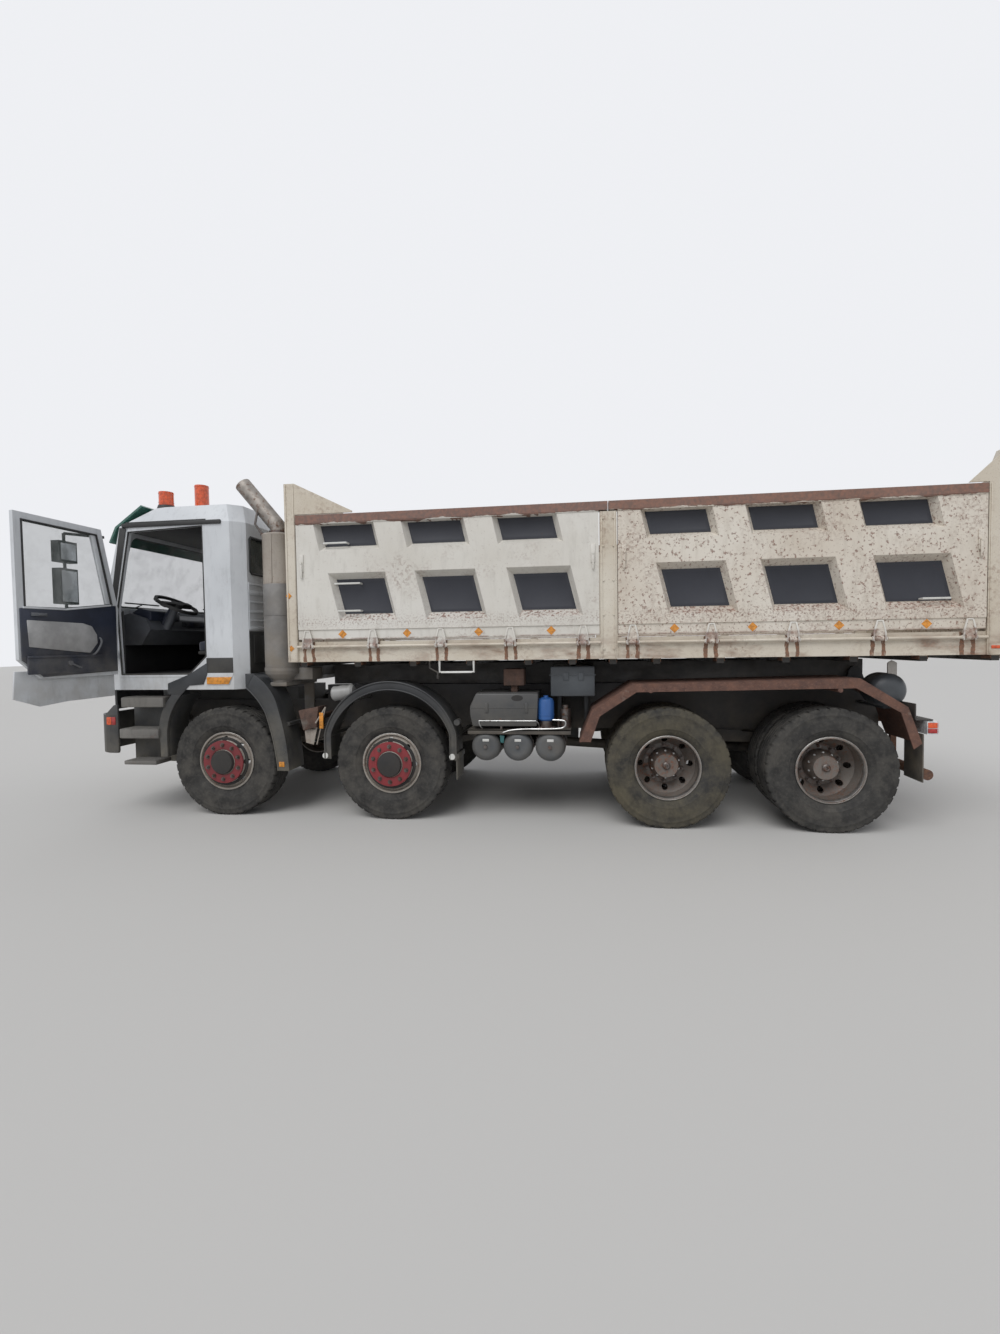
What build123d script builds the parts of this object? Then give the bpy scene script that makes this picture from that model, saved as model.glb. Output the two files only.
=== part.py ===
"""Four-axle tipper lorry with a drop-side dump bed, in millimetres.

X points forward, Y to the driver's left, Z up. The origin is on the ground, under the first axle,
on the centre plane. The driver's door is stored open, every other joint at its middle or closed.
"""

import os
from math import atan2, cos, sin, sqrt

from build123d import *

os.makedirs("parts", exist_ok=True)

LEFT = 1
RIGHT = -1
SIDES = (LEFT, RIGHT)
SIDE_NAME = {LEFT: "left", RIGHT: "right"}

# Running gear: axle places, tyre and rim sizes
AXLE_1_X = 0
AXLE_2_X = -1700
AXLE_3_X = -4250
AXLE_4_X = -5600
TYRE_RADIUS = 535
TYRE_WIDTH = 312
TREAD_WIDTH = 282
BEAD_WIDTH = 222
SHOULDER_DROP = 26
WIDEST_RADIUS = 405
RIM_RADIUS = 286
RIM_WIDTH = 248
RIM_WALL = 14
DISC_THICKNESS = 12
DISC_OFFSET = 165
DISC_FLAT_RADIUS = 190
PILOT_RADIUS = 141
HAND_HOLES = 8
HAND_HOLE_RADIUS = 27
HAND_HOLE_CIRCLE = 222
SEAT_GAP = 0.3
FRONT_WHEEL_Y = 1020
TWIN_Y = 905
KINGPIN_Y = 930
KINGPIN_RADIUS = 22
SPINDLE_RADIUS = 45
HUB_INNER = -20
HUB_OUTER = 192
HUB_CAP_RADIUS = 104
SPINDLE_END = 60
TWIN_HUB_REACH = 120
TWIN_HUB_CAP = 60
REAR_SPINDLE_END = 100
FIT = 0.05
CLEARANCE = 6
AXLE_Z = TYRE_RADIUS
TWIN_SPACING = 2 * DISC_OFFSET + 4
SPINDLE_TIP = FRONT_WHEEL_Y + SPINDLE_END - 4

# Chassis rails and the tipper frame on them
RAIL_OUTER_Y = 430
RAIL_HEIGHT = 300
RAIL_TOP = 1080
RAIL_FLANGE = 80
RAIL_WEB = 9
RAIL_FRONT = 1000
RAIL_REAR = -6310
SUBFRAME_HEIGHT = 160
SUBFRAME_WIDTH = 90
SUBFRAME_FRONT = -760
CROSS_TUBE_RADIUS = 45
RAIL_BOTTOM = RAIL_TOP - RAIL_HEIGHT
RAIL_INNER_Y = RAIL_OUTER_Y - RAIL_WEB
SUBFRAME_TOP = RAIL_TOP + SUBFRAME_HEIGHT
FRONT_BEAM = 30
CROSS_TUBES = (-1350, -2100, -3050, -4925, -6200)
CRADLE_LENGTH = 90
CRADLE_DEPTH = 40
CRADLE_SIDE = 34
# columns: rear face x, half width of each cradle under the engine and gearbox
ENGINE_CRADLES = ((480, 384), (-1000, 384))
PIN_END = 10

# Springs and axle beams
SPRING_Y = 430
SPRING_WIDTH = 90
SPRING_THICKNESS = 62
SPRING_HALF_LENGTH = 730
SPRING_RISE = 95
BEAM_TOP = 580
BEAM_DEPTH = 105
BEAM_WIDTH = 96
BEAM_DROP = 85
BEAM_DROP_Y = 300
BEAM_KNEE_Y = 385
KINGPIN_BOSS_RADIUS = 42
FORK_THICKNESS = 45
FORK_GAP = 3
AXLE_TUBE_RADIUS = 82
DIFF_RADIUS = 205
BOGIE_SPRING_THICKNESS = 100
BOGIE_ARCH = 48
BOGIE_CLAMP = 120
SPRING_SEAT = 60
HANGER_LENGTH = 80
DIFF_NOSE = 260
DIFF_NOSE_RADIUS = 90

# Engine and gearbox, one plain block
ENGINE_FRONT = 930
ENGINE_REAR = -380
ENGINE_HALF_WIDTH = 350
ENGINE_BOTTOM = 640
ENGINE_TOP = 1215
GEARBOX_REAR = -1080
GEARBOX_HALF_WIDTH = 200
GEARBOX_TOP = 960
SHAFT_RADIUS = 50
SHAFT_Z = 700
SHAFT_GAP = 3

# Cab
CAB_HALF_WIDTH = 1200
CAB_BOTTOM = 1250
CAB_BELT = 2060
CAB_GUTTER = 2880
CAB_ROOF = 3070
CAB_FRONT = 1400
CAB_REAR = -250
CAB_WALL = 40
SCREEN_SETBACK = 240
ROOF_FRONT_SETBACK = 560
ROOF_REAR_SETBACK = 90
ROOF_TAPER = 110
REAR_BEVEL_X = 107
REAR_BEVEL_Y = 110
FRONT_CORNER_X = 300
FRONT_CORNER_Y = 300
TILT_X = 1240
TILT_Z = 1080
TILT_ARM_Y = 300
TILT_PIN_RADIUS = 24
TILT_ARM_THICKNESS = 50
TILT_EAR_OFFSET = 43
TILT_EAR_THICKNESS = 24
TILT_EYE_RADIUS = 48
SCREEN_HALF_WIDTH = CAB_HALF_WIDTH - 300
SCREEN_MARGIN = 45
SCREEN_CORNER = 70
SCREEN_CUT = 70
REAR_WINDOW_Y = CAB_HALF_WIDTH - 350
REAR_WINDOW_Z = 2570
REAR_WINDOW_WIDTH = 380
REAR_WINDOW_HEIGHT = 360
REAR_WINDOW_CORNER = 50
PANEL_BOTTOM = 1300
PANEL_TOP = 1990
PANEL_HALF_WIDTH = CAB_HALF_WIDTH - 330
GRILLE_Z = 1560
GRILLE_PITCH = 84
GRILLE_SLOTS = 5
GRILLE_SLOT = 46
GRILLE_HALF_WIDTH = 560
GRILLE_DEPTH = 22
LIP_FRONT = 1380
LIP_WALL = 24
LIP_BOTTOM = 1030
LIP_HALF_WIDTH = CAB_HALF_WIDTH - 260
VISOR_HALF_WIDTH = CAB_HALF_WIDTH - 140
# x, z round the sun visor's section
VISOR_PROFILE = (
    (1262, 2742),
    (1276, 2750),
    (1200, 2905),
    (900, 3112),
    (884, 3098),
    (1180, 2893),
)
VISOR_FINS = (-900, 0, 900)
VISOR_FIN_THICKNESS = 12
# columns: x, y, top z of each beacon
BEACONS = ((470, CAB_HALF_WIDTH - 500, 3370), (690, CAB_HALF_WIDTH - 240, 3250))
BEACON_BASE = CAB_ROOF + SEAT_GAP
BEACON_RADIUS = 70
MIRROR_FOOT_X = 1229
MIRROR_FOOT_Y = CAB_HALF_WIDTH - 25
MIRROR_X = 1420
MIRROR_Y = CAB_HALF_WIDTH + 250
MIRROR_ARMS = (2060, 2780)
MIRROR_ARM_RADIUS = 14
# columns: bottom z, top z of each mirror head
MIRROR_HEADS = ((2100, 2440), (2500, 2700))
MIRROR_DEPTH = 90
MIRROR_WIDTH = 200
SEAT_Y = CAB_HALF_WIDTH / 2
SEAT_REAR = -60
SEAT_LENGTH = 560
SEAT_WIDTH = 520
SEAT_BASE = 1600
SEAT_TOP = 2380
DASH_HALF_WIDTH = CAB_HALF_WIDTH - 350
# x, z round the dashboard's section
DASH_PROFILE = (
    (CAB_FRONT - CAB_WALL - SEAT_GAP, 1700),
    (CAB_FRONT - CAB_WALL - SEAT_GAP, 2010),
    (1240, 2040),
    (1060, 1980),
    (1010, 1860),
    (1120, 1700),
)
STEERING_X = 885
STEERING_Z = 2130
STEERING_RADIUS = 225
STEERING_RIM = 30
STEERING_SPOKE = 60
STEERING_HUB = 50
STEERING_HUB_RADIUS = 60
STEERING_AXIS = Vector(-0.45, 0, 0.893)
COLUMN_RADIUS = 40
COLUMN_LENGTH = 260

# Doors
DOOR_GAP = 6
DOOR_THICKNESS = 40
DOOR_HINGE_X = 1100
DOOR_HINGE_Y = CAB_HALF_WIDTH + 22
DOOR_PIN_RADIUS = 9
DOOR_SLEEVE_RADIUS = 17
DOOR_SLEEVE_HEIGHT = 60
DOOR_HINGE_HEIGHTS = (1600, 1950)
DOOR_OPEN_DEG = 100
GLASS_THICKNESS = 6
# columns: x, z round the door opening
DOOR_OUTLINE = (
    (1060, 1410),
    (1085, 2050),
    (935, 2810),
    (150, 2840),
    (150, 1580),
    (330, 1410),
)
# columns: x, z round the door window
WINDOW_OUTLINE = (
    (1015, 2090),
    (885, 2750),
    (215, 2775),
    (215, 2030),
    (560, 2030),
)

# Tipping bed
BED_FRONT = -740
BED_REAR = -6950
BED_HALF_WIDTH = 1250
BED_FLOOR_TOP = 1640
BED_FLOOR_THICKNESS = 22
BED_BOTTOM = 1510
BED_RAIL_TOP = 1700
BED_RAIL_Y = BED_HALF_WIDTH - 18
BED_RAIL_WIDTH = 60
BED_BEAM_BOTTOM = SUBFRAME_TOP + CLEARANCE
BED_BEAM_TOP = 1460
HEADBOARD_TOP = 3180
POST_DEPTH = 92
PIVOT_X = -6100
PIVOT_Z = 1330
PIVOT_RADIUS = 30
PIVOT_Y = 430
PIVOT_EAR = 40
PIVOT_EAR_RADIUS = 60
PIVOT_EYE_RADIUS = 95
PIVOT_SWEEP = 84
BED_BEAM_Y = 360
BED_BEAM_WIDTH = 48
HEADBOARD_DEPTH = 60
HEADBOARD_SHEET = 14
HEADBOARD_RIBS = (-900, -450, 0, 450, 900)
BED_CROSS_BEAMS = (-860, -1400, -1940, -2480, -3020, -3420, -3780, -4160, -4700, -5240, -5780, -6320, -6860)
GUSSET_THICKNESS = 14
GUSSET_BOTTOM = 2897
FRONT_POST_TOP = HEADBOARD_TOP + 6
REAR_POST_TOP = 3155
# x, z round the posts and gussets of one side
FRONT_POST = (
    (BED_FRONT, BED_BOTTOM),
    (BED_FRONT, FRONT_POST_TOP),
    (BED_FRONT - 100, FRONT_POST_TOP),
    (BED_FRONT - 100, BED_BOTTOM),
)
MID_POST = (
    (-3670, BED_BOTTOM),
    (-3670, 2800),
    (-3817, 2800),
    (-3817, BED_BOTTOM),
)
REAR_POST = (
    (BED_REAR + 198, BED_BOTTOM),
    (BED_REAR + 198, 2889),
    (BED_REAR + 100, REAR_POST_TOP),
    (BED_REAR, REAR_POST_TOP),
    (BED_REAR, BED_BOTTOM),
)
FRONT_GUSSET = (
    (BED_FRONT - 60, FRONT_POST_TOP),
    (BED_FRONT - 102, FRONT_POST_TOP),
    (BED_FRONT - 665, GUSSET_BOTTOM + 14),
    (BED_FRONT - 665, GUSSET_BOTTOM),
    (BED_FRONT - 60, GUSSET_BOTTOM),
)
REAR_GUSSET = (
    (BED_REAR + 347, GUSSET_BOTTOM),
    (BED_REAR + 73, REAR_POST_TOP),
    (BED_REAR + 50, REAR_POST_TOP),
    (BED_REAR + 50, GUSSET_BOTTOM),
)
TAILGATE_X = BED_REAR + 42
TAILGATE_DEPTH = 60
TAILGATE_HINGE_Z = 3095
TAILGATE_BOTTOM = 1650
TAILGATE_TOP = 2960
TAILGATE_HALF_WIDTH = BED_HALF_WIDTH - POST_DEPTH - 10
TAILGATE_PIN_RADIUS = 16
TAILGATE_STUB = 60
TAILGATE_ARM = 34
TAILGATE_EYE = 34
TAILGATE_BAY = 560
TAILGATE_BAYS = 4
TAILGATE_RIB = 90
TAILGATE_RECESS = 38

# Drop-side gates
GATE_GAP = 8
GATE_THICKNESS = 95
GATE_BOTTOM = 1722
GATE_RAIL_BOTTOM = 2810
GATE_RAIL_TOP = 2885
GATE_RAIL_PROUD = 10
HINGE_Y = BED_HALF_WIDTH + 8
HINGE_Z = 1654
HINGE_BAR_RADIUS = 13
LUG_RADIUS = 21
LUG_WIDTH = 56
LUG_TOP = 1800
LUG_TOP_WIDTH = 46
LUG_BASE_WIDTH = 100
POCKET_DEPTH = 75
POCKET_BEVEL = 40
GATE_BAND_TOP = 1815
GATE_BAND_STEP = 8
LUG_PROUD = 14
# columns: front x, rear x of each gate on one side, then of its top rail
GATE_BAYS = (
    (-848, -3662, -848, -3740),
    (-3825, -6744, -3747, -6744),
)
HINGE_LUGS = (
    (-945, -1586, -2230, -2870, -3519),
    (-3948, -4608, -5269, -5942, -6616),
)
# columns: front x, rear x of each pocket's dark panel at its top edge
UPPER_POCKETS = (
    ((-1063, -1571), (-1912, -2418), (-2755, -3258)),
    ((-4059, -4581), (-4925, -5449), (-5817, -6335)),
)
LOWER_POCKETS = (
    ((-1210, -1684), (-2045, -2529), (-2894, -3386)),
    ((-4199, -4698), (-5058, -5574), (-5943, -6448)),
)
UPPER_POCKET = (2594, 2795)
LOWER_POCKET = (1957, 2289)
UPPER_SLANT = 45
LOWER_SLANT = 80
UPPER_HEAD = 13
LOWER_HEAD = 50
UPPER_FOOT = 45
LOWER_FOOT = 62

# Hoist
HOIST_X = -3600
HOIST_PIVOT_Z = 1000
HOIST_BOTTOM = 712
HOIST_TOP = 1290
HOIST_COLLAR = 10
HOIST_BALL_Z = 1400
HOIST_STAGES = 4
HOIST_RADIUS = 120
HOIST_WALL = 12
HOIST_TRUNNION_RADIUS = 30
HOIST_BEARING = 40
HOIST_FRAME = 210
HOIST_BEAM = 60
HOIST_FRAME_Z = (930, 1070)
HOIST_ROD_RADIUS = 34
HOIST_BALL_RADIUS = 45
HOIST_EAR_Y = 52
HOIST_EAR_THICKNESS = 16
HOIST_EAR_HALF = 80
HOIST_EAR_DROP = 34

# Bumper and steps
BUMPER_FRONT = 1430
BUMPER_REAR = 1120
BUMPER_HALF_WIDTH = CAB_HALF_WIDTH + 30
BUMPER_BOTTOM = 618
BUMPER_TOP = 1000
BUMPER_WALL = 30
BUMPER_CORNER_X = 1200
BUMPER_FLAT_Y = CAB_HALF_WIDTH - 240
BUMPER_BULGE = 38
HEADLAMP_DEPTH = 14
HEADLAMP_INNER_Y = BUMPER_HALF_WIDTH - 590
HEADLAMP_OUTER_Y = BUMPER_HALF_WIDTH - 300
HEADLAMP_Z = (720, 880)
STEP_INNER_Y = CAB_HALF_WIDTH - 190
STEP_OUTER_Y = CAB_HALF_WIDTH + 30
# columns: front x, rear x, bottom z, top z of each step board
STEP_BOARDS = (
    (1070, 605, 1077, 1175),
    (1100, 670, 764, 859),
    (1060, 700, 500, 540),
)
STEP_POST_REAR = 585
STEP_POST_FRONT = 650
STEP_POST_Z = (580, 1077)
STEP_PLATE_REAR = 700
STEP_PLATE_FRONT = 1100
STEP_PLATE_Z = (500, 1100)
STEP_BRACKET_X = 880
STEP_BRACKET_Z = 900

# Mudguards
GUARD_INNER_Y = 880
GUARD_OUTER_Y = CAB_HALF_WIDTH - 5
GUARD_TUBE_RADIUS = 20
GUARD_HALF_LENGTH = 610
GUARD_WALL = 26
GUARD_END_Z = 580
GUARD_KNEE_Z = 820
GUARD_TOP = 1246
GUARD_TUBE_Z = 800
FENDER_TUBE_X = -720
FENDER_TUBE_Z = 900
# x, z round the fender behind the first wheel
CAB_FENDER = (
    (-262, 1400),
    (-280, 1335),
    (-446, 1025),
    (-612, 800),
    (-612, 460),
    (-727, 460),
    (-727, 960),
    (-574, 1142),
    (-400, 1400),
)
REAR_GUARD_INNER_Y = 660
REAR_GUARD_OUTER_Y = BED_HALF_WIDTH - 2
REAR_GUARD_LIP_WIDTH = 14
# x, z along the outside of the rear mudguard, its sheet's underside and its lip's inner edge
REAR_GUARD_OUTER = (
    (-3476, 770),
    (-3591, 1056),
    (-3946, 1286),
    (-5805, 1323),
    (-6173, 1083),
    (-6283, 781),
)
REAR_GUARD_SHEET = (
    (-3490, 765),
    (-3603, 1047),
    (-3951, 1272),
    (-5801, 1309),
    (-6162, 1074),
    (-6269, 778),
)
REAR_GUARD_LIP = (
    (-3577, 771),
    (-3657, 999),
    (-3979, 1213),
    (-5773, 1241),
    (-6120, 1036),
    (-6219, 733),
)
REAR_GUARD_TUBES = (-4100, -5650)
REAR_GUARD_TUBE_Z = 1225

# Boxes and tanks beside the rails
SHELF_X = (-3400, -2444)
SHELF_OUTER_Y = 1150
SHELF_Z = (850, 866)
# columns: x, y, z spans of each box on the left
LEFT_BOXES = (
    ((-3082, -2496), (700, 1150), (866, 1202)),
    ((-3236, -3094), (900, 1150), (866, 1146)),
    ((-3455, -3222), (600, 1050), (866, 1330)),
    ((-960, -820), (950, 1150), (886, 1048)),
)
BROWN_BOX_TUBE_X = -880
BROWN_BOX_TUBE_Z = 960
BROWN_BOX_INNER_Y = 950
AIR_TANK_X = (-2610, -2909, -3208)
AIR_TANK_Z = 702
AIR_TANK_INNER_Y = 520
AIR_TANK_OUTER_Y = 1150
AIR_TANK_RADIUS = 137
AIR_TANK_DOME = 60
AIR_TANK_STRAPS = (660, 1010)
FUEL_TANK_X = (-3440, -2480)
FUEL_TANK_INNER_Y = 560
FUEL_TANK_OUTER_Y = 1160
FUEL_TANK_Z = (500, 1080)
FUEL_TANK_CORNER = 80
FUEL_TANK_STRAPS = (-2700, -3260)
FUEL_STRAP_Z = 800
STACK_X = -555
STACK_Y = 1020
# columns: bottom z, top z, radius of each length of the stack
STACK_STEPS = (
    (1350, 2260, 105),
    (2260, 2720, 86),
    (2720, 2860, 62),
)
STACK_BEND_Z = 2860
STACK_END_X = -345
STACK_END_Z = 3220
STACK_PIPE_RADIUS = 60

# Rear bar, guard and coupling
REAR_BAR_X = (-6419, -6334)
REAR_BAR_HALF = BED_HALF_WIDTH - 370
REAR_BAR_Z = (860, 950)
REAR_HANGER_X = (-6400, -6350)
REAR_HANGER_Y = 560
GUARD_BAR_Z = 500
UNDERRUN_HALF = 1150
UNDERRUN_RADIUS = 45
TOW_X = -6540
TOW_Z = 905
TOW_BODY = 70
TOW_HALF_WIDTH = 60
TOW_HALF_HEIGHT = 75
TOW_JAW = 60
TOW_PIN_RADIUS = 20
TAIL_LAMP_X = (-6419, -6334)
TAIL_LAMP_OUTER_Y = BED_HALF_WIDTH - 35
TAIL_LAMP_Z = (852, 961)


def side_plane(y):
    """An upright plane across the lorry at y: its sketch is x, z, and it extrudes towards -Y."""
    return Plane.XZ.offset(-y)


def cross_plane(x):
    """An upright plane across the rails at x: its sketch is y, z, and it extrudes towards +X."""
    return Plane.YZ.offset(x)


def level_plane(z):
    """A level plane at z: its sketch is x, y, and it extrudes upwards."""
    return Plane.XY.offset(z)


def block(x, y, z):
    """A plain block between two places on each axis, each given as a pair."""
    centre = ((x[0] + x[1]) / 2, (y[0] + y[1]) / 2, (z[0] + z[1]) / 2)
    with Locations(centre):
        Box(abs(x[1] - x[0]), abs(y[1] - y[0]), abs(z[1] - z[0]))


def cross_bar(x, z, y_from, y_to, radius, mode=Mode.ADD):
    """A round bar along Y."""
    with BuildSketch(side_plane(max(y_from, y_to))) as face:
        with Locations((x, z)):
            Circle(radius)
    extrude(face.sketch, amount=abs(y_to - y_from), mode=mode)


def slab(outline, y_from, y_to, mode=Mode.ADD):
    """A plate with an outline in x, z, between two places on Y."""
    with BuildSketch(side_plane(max(y_from, y_to))) as face:
        with BuildLine():
            Polyline(*outline, close=True)
        make_face()
    extrude(face.sketch, amount=abs(y_to - y_from), mode=mode)


def save(builder, name):
    """Labels a finished piece and writes it out."""
    builder.part.label = name
    export_step(builder.part, f"parts/{name}.step")


def wheel_ring(profile, wheel_y, side, mode=Mode.ADD):
    """Revolves a profile of (radius, outward distance) round the wheel's axle line."""
    points = [(wheel_y * side + side * outward, AXLE_Z + radius) for radius, outward in profile]
    with BuildSketch(cross_plane(0)) as section:
        with BuildLine():
            Polyline(*points, close=True)
        make_face()
    revolve(section.sketch, axis=Axis((0, 0, AXLE_Z), (0, 1, 0)), mode=mode)


def tyre_profile():
    """Tyre section from bead to bead, as (radius, outward distance)."""
    bore = RIM_RADIUS + SEAT_GAP
    return (
        (bore, -BEAD_WIDTH / 2),
        (WIDEST_RADIUS, -TYRE_WIDTH / 2),
        (TYRE_RADIUS - SHOULDER_DROP, -TYRE_WIDTH / 2 + 6),
        (TYRE_RADIUS, -TREAD_WIDTH / 2),
        (TYRE_RADIUS, TREAD_WIDTH / 2),
        (TYRE_RADIUS - SHOULDER_DROP, TYRE_WIDTH / 2 - 6),
        (WIDEST_RADIUS, TYRE_WIDTH / 2),
        (bore, BEAD_WIDTH / 2),
    )


def rim_profile(direction):
    """Rim barrel with its dished disc, whose flat face lies at the disc offset."""
    inner = RIM_RADIUS - RIM_WALL
    half = RIM_WIDTH / 2
    flat = DISC_OFFSET
    back = DISC_OFFSET - DISC_THICKNESS
    return tuple(
        (radius, outward * direction)
        for radius, outward in (
            (RIM_RADIUS, -half),
            (RIM_RADIUS, half),
            (inner, half),
            (inner - 6, half - 30),
            (DISC_FLAT_RADIUS, flat),
            (PILOT_RADIUS, flat),
            (PILOT_RADIUS, back),
            (DISC_FLAT_RADIUS - 6, back),
            (inner - 6, half - 48),
            (inner, -half),
        )
    )


def moved(part, x):
    """The same piece at another axle."""
    return Pos(x, 0, 0) * part


def export_at(part, x, name):
    """Writes a copy of a piece that was made at the first axle."""
    copy = moved(part, x)
    copy.label = name
    export_step(copy, f"parts/{name}.step")


# Wheels: tyres, rims with their hubs, and the steering knuckles


def front_tyre(side):
    with BuildPart() as tyre:
        wheel_ring(tyre_profile(), FRONT_WHEEL_Y, side)
    return tyre.part


def twin_tyres(side):
    with BuildPart() as tyres:
        for shift in (-TWIN_SPACING / 2, TWIN_SPACING / 2):
            wheel_ring(tyre_profile(), TWIN_Y + shift, side)
    return tyres.part


def hand_holes(wheel_y, side):
    """Round hand holes through a disc."""
    start = (wheel_y + 2 * DISC_OFFSET) * side
    with BuildSketch(side_plane(start)) as holes:
        with Locations((0, AXLE_Z)):
            with PolarLocations(HAND_HOLE_CIRCLE, HAND_HOLES):
                Circle(HAND_HOLE_RADIUS)
    extrude(holes.sketch, amount=side * 3 * DISC_OFFSET, mode=Mode.SUBTRACT)


def front_rim(side):
    """Rim with the disc outboard, and the hub that turns on the spindle."""
    hub = (
        (SPINDLE_RADIUS + FIT, HUB_INNER),
        (PILOT_RADIUS, HUB_INNER),
        (PILOT_RADIUS, DISC_OFFSET),
        (HUB_CAP_RADIUS, HUB_OUTER),
        (0.0, HUB_OUTER),
        (0.0, SPINDLE_END),
        (SPINDLE_RADIUS + FIT, SPINDLE_END),
    )
    with BuildPart() as rim:
        wheel_ring(rim_profile(1), FRONT_WHEEL_Y, side)
        hand_holes(FRONT_WHEEL_Y, side)
        wheel_ring(hub, FRONT_WHEEL_Y, side)
    return rim.part


def twin_rims(side):
    """Two rims back to back on one hub."""
    hub_in = -TWIN_HUB_REACH
    hub = (
        (SPINDLE_RADIUS + FIT, hub_in),
        (PILOT_RADIUS, hub_in),
        (PILOT_RADIUS, DISC_THICKNESS + 34),
        (HUB_CAP_RADIUS, TWIN_HUB_REACH + TWIN_HUB_CAP),
        (0.0, TWIN_HUB_REACH + TWIN_HUB_CAP),
        (0.0, REAR_SPINDLE_END),
        (SPINDLE_RADIUS + FIT, REAR_SPINDLE_END),
    )
    with BuildPart() as rims:
        wheel_ring(rim_profile(-1), TWIN_Y + TWIN_SPACING / 2, side)
        wheel_ring(rim_profile(1), TWIN_Y - TWIN_SPACING / 2, side)
        hand_holes(TWIN_Y - TWIN_SPACING / 2, side)
        wheel_ring(hub, TWIN_Y, side)
    return rims.part


def knuckle(side):
    """Fork round the kingpin with the spindle that the hub turns on."""
    boss_half = BEAM_DEPTH / 2
    boss_z = BEAM_TOP - boss_half
    block_inner = KINGPIN_Y + KINGPIN_BOSS_RADIUS + FORK_GAP
    block_outer = FRONT_WHEEL_Y + HUB_INNER - CLEARANCE
    with BuildPart() as fork:
        for direction in (1, -1):
            bottom = boss_z + direction * (boss_half + FORK_GAP)
            with BuildSketch(level_plane(bottom)):
                with BuildLine():
                    Polyline(
                        (-KINGPIN_BOSS_RADIUS, KINGPIN_Y * side),
                        (-KINGPIN_BOSS_RADIUS, block_outer * side),
                        (KINGPIN_BOSS_RADIUS, block_outer * side),
                        (KINGPIN_BOSS_RADIUS, KINGPIN_Y * side),
                        close=True,
                    )
                make_face()
                with Locations((0, KINGPIN_Y * side)):
                    Circle(KINGPIN_BOSS_RADIUS)
            extrude(amount=direction * FORK_THICKNESS)
        block(
            (-KINGPIN_BOSS_RADIUS, KINGPIN_BOSS_RADIUS),
            (block_inner * side, block_outer * side),
            (boss_z - boss_half - FORK_GAP, boss_z + boss_half + FORK_GAP),
        )
        cross_bar(0, AXLE_Z, block_outer * side - side * 8, SPINDLE_TIP * side, SPINDLE_RADIUS)
        with BuildSketch(level_plane(boss_z - BEAM_DEPTH - FORK_THICKNESS)):
            with Locations((0, KINGPIN_Y * side)):
                Circle(KINGPIN_RADIUS + FIT)
        extrude(amount=2 * (BEAM_DEPTH + FORK_THICKNESS), mode=Mode.SUBTRACT)
    return fork.part


for side in SIDES:
    made_tyre = front_tyre(side)
    made_rim = front_rim(side)
    made_knuckle = knuckle(side)
    for number, axle_x in ((1, AXLE_1_X), (2, AXLE_2_X)):
        export_at(made_tyre, axle_x, f"tyre_{number}_{SIDE_NAME[side]}")
        export_at(made_rim, axle_x, f"rim_{number}_{SIDE_NAME[side]}")
        export_at(made_knuckle, axle_x, f"knuckle_{number}_{SIDE_NAME[side]}")
    made_tyres = twin_tyres(side)
    made_rims = twin_rims(side)
    for number, axle_x in ((3, AXLE_3_X), (4, AXLE_4_X)):
        export_at(made_tyres, axle_x, f"tyres_{number}_{SIDE_NAME[side]}")
        export_at(made_rims, axle_x, f"rims_{number}_{SIDE_NAME[side]}")


# Chassis frame: channel rails, tipper frame, cross tubes, pivots of the cab and of the bed

def channel(outer_y, top_z, height, flange, web, side):
    """A channel section open towards the middle, as (y, z) points."""
    inner = outer_y - web
    tip = outer_y - flange
    bottom = top_z - height
    points = (
        (outer_y, bottom),
        (outer_y, top_z),
        (tip, top_z),
        (tip, top_z - web),
        (inner, top_z - web),
        (inner, bottom + web),
        (tip, bottom + web),
        (tip, bottom),
    )
    return tuple((y * side, z) for y, z in points)


def beam_along(points, x_from, x_to):
    """Extrudes a y, z section along the lorry."""
    with BuildSketch(cross_plane(min(x_from, x_to))) as section:
        with BuildLine():
            Polyline(*points, close=True)
        make_face()
    extrude(section.sketch, amount=abs(x_to - x_from))


def shaft_between(start, end, radius):
    """A round shaft from one place to another."""
    line = Vector(*end) - Vector(*start)
    with BuildSketch(Plane(origin=start, z_dir=line.normalized())) as face:
        Circle(radius)
    extrude(face.sketch, amount=line.length)


def eye_plate(x, z, radius, foot, y_from, y_to):
    """A plate with a round end at x, z that runs down or up to its foot outline."""
    slab(foot, y_from, y_to)
    cross_bar(x, z, y_from, y_to, radius)


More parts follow.
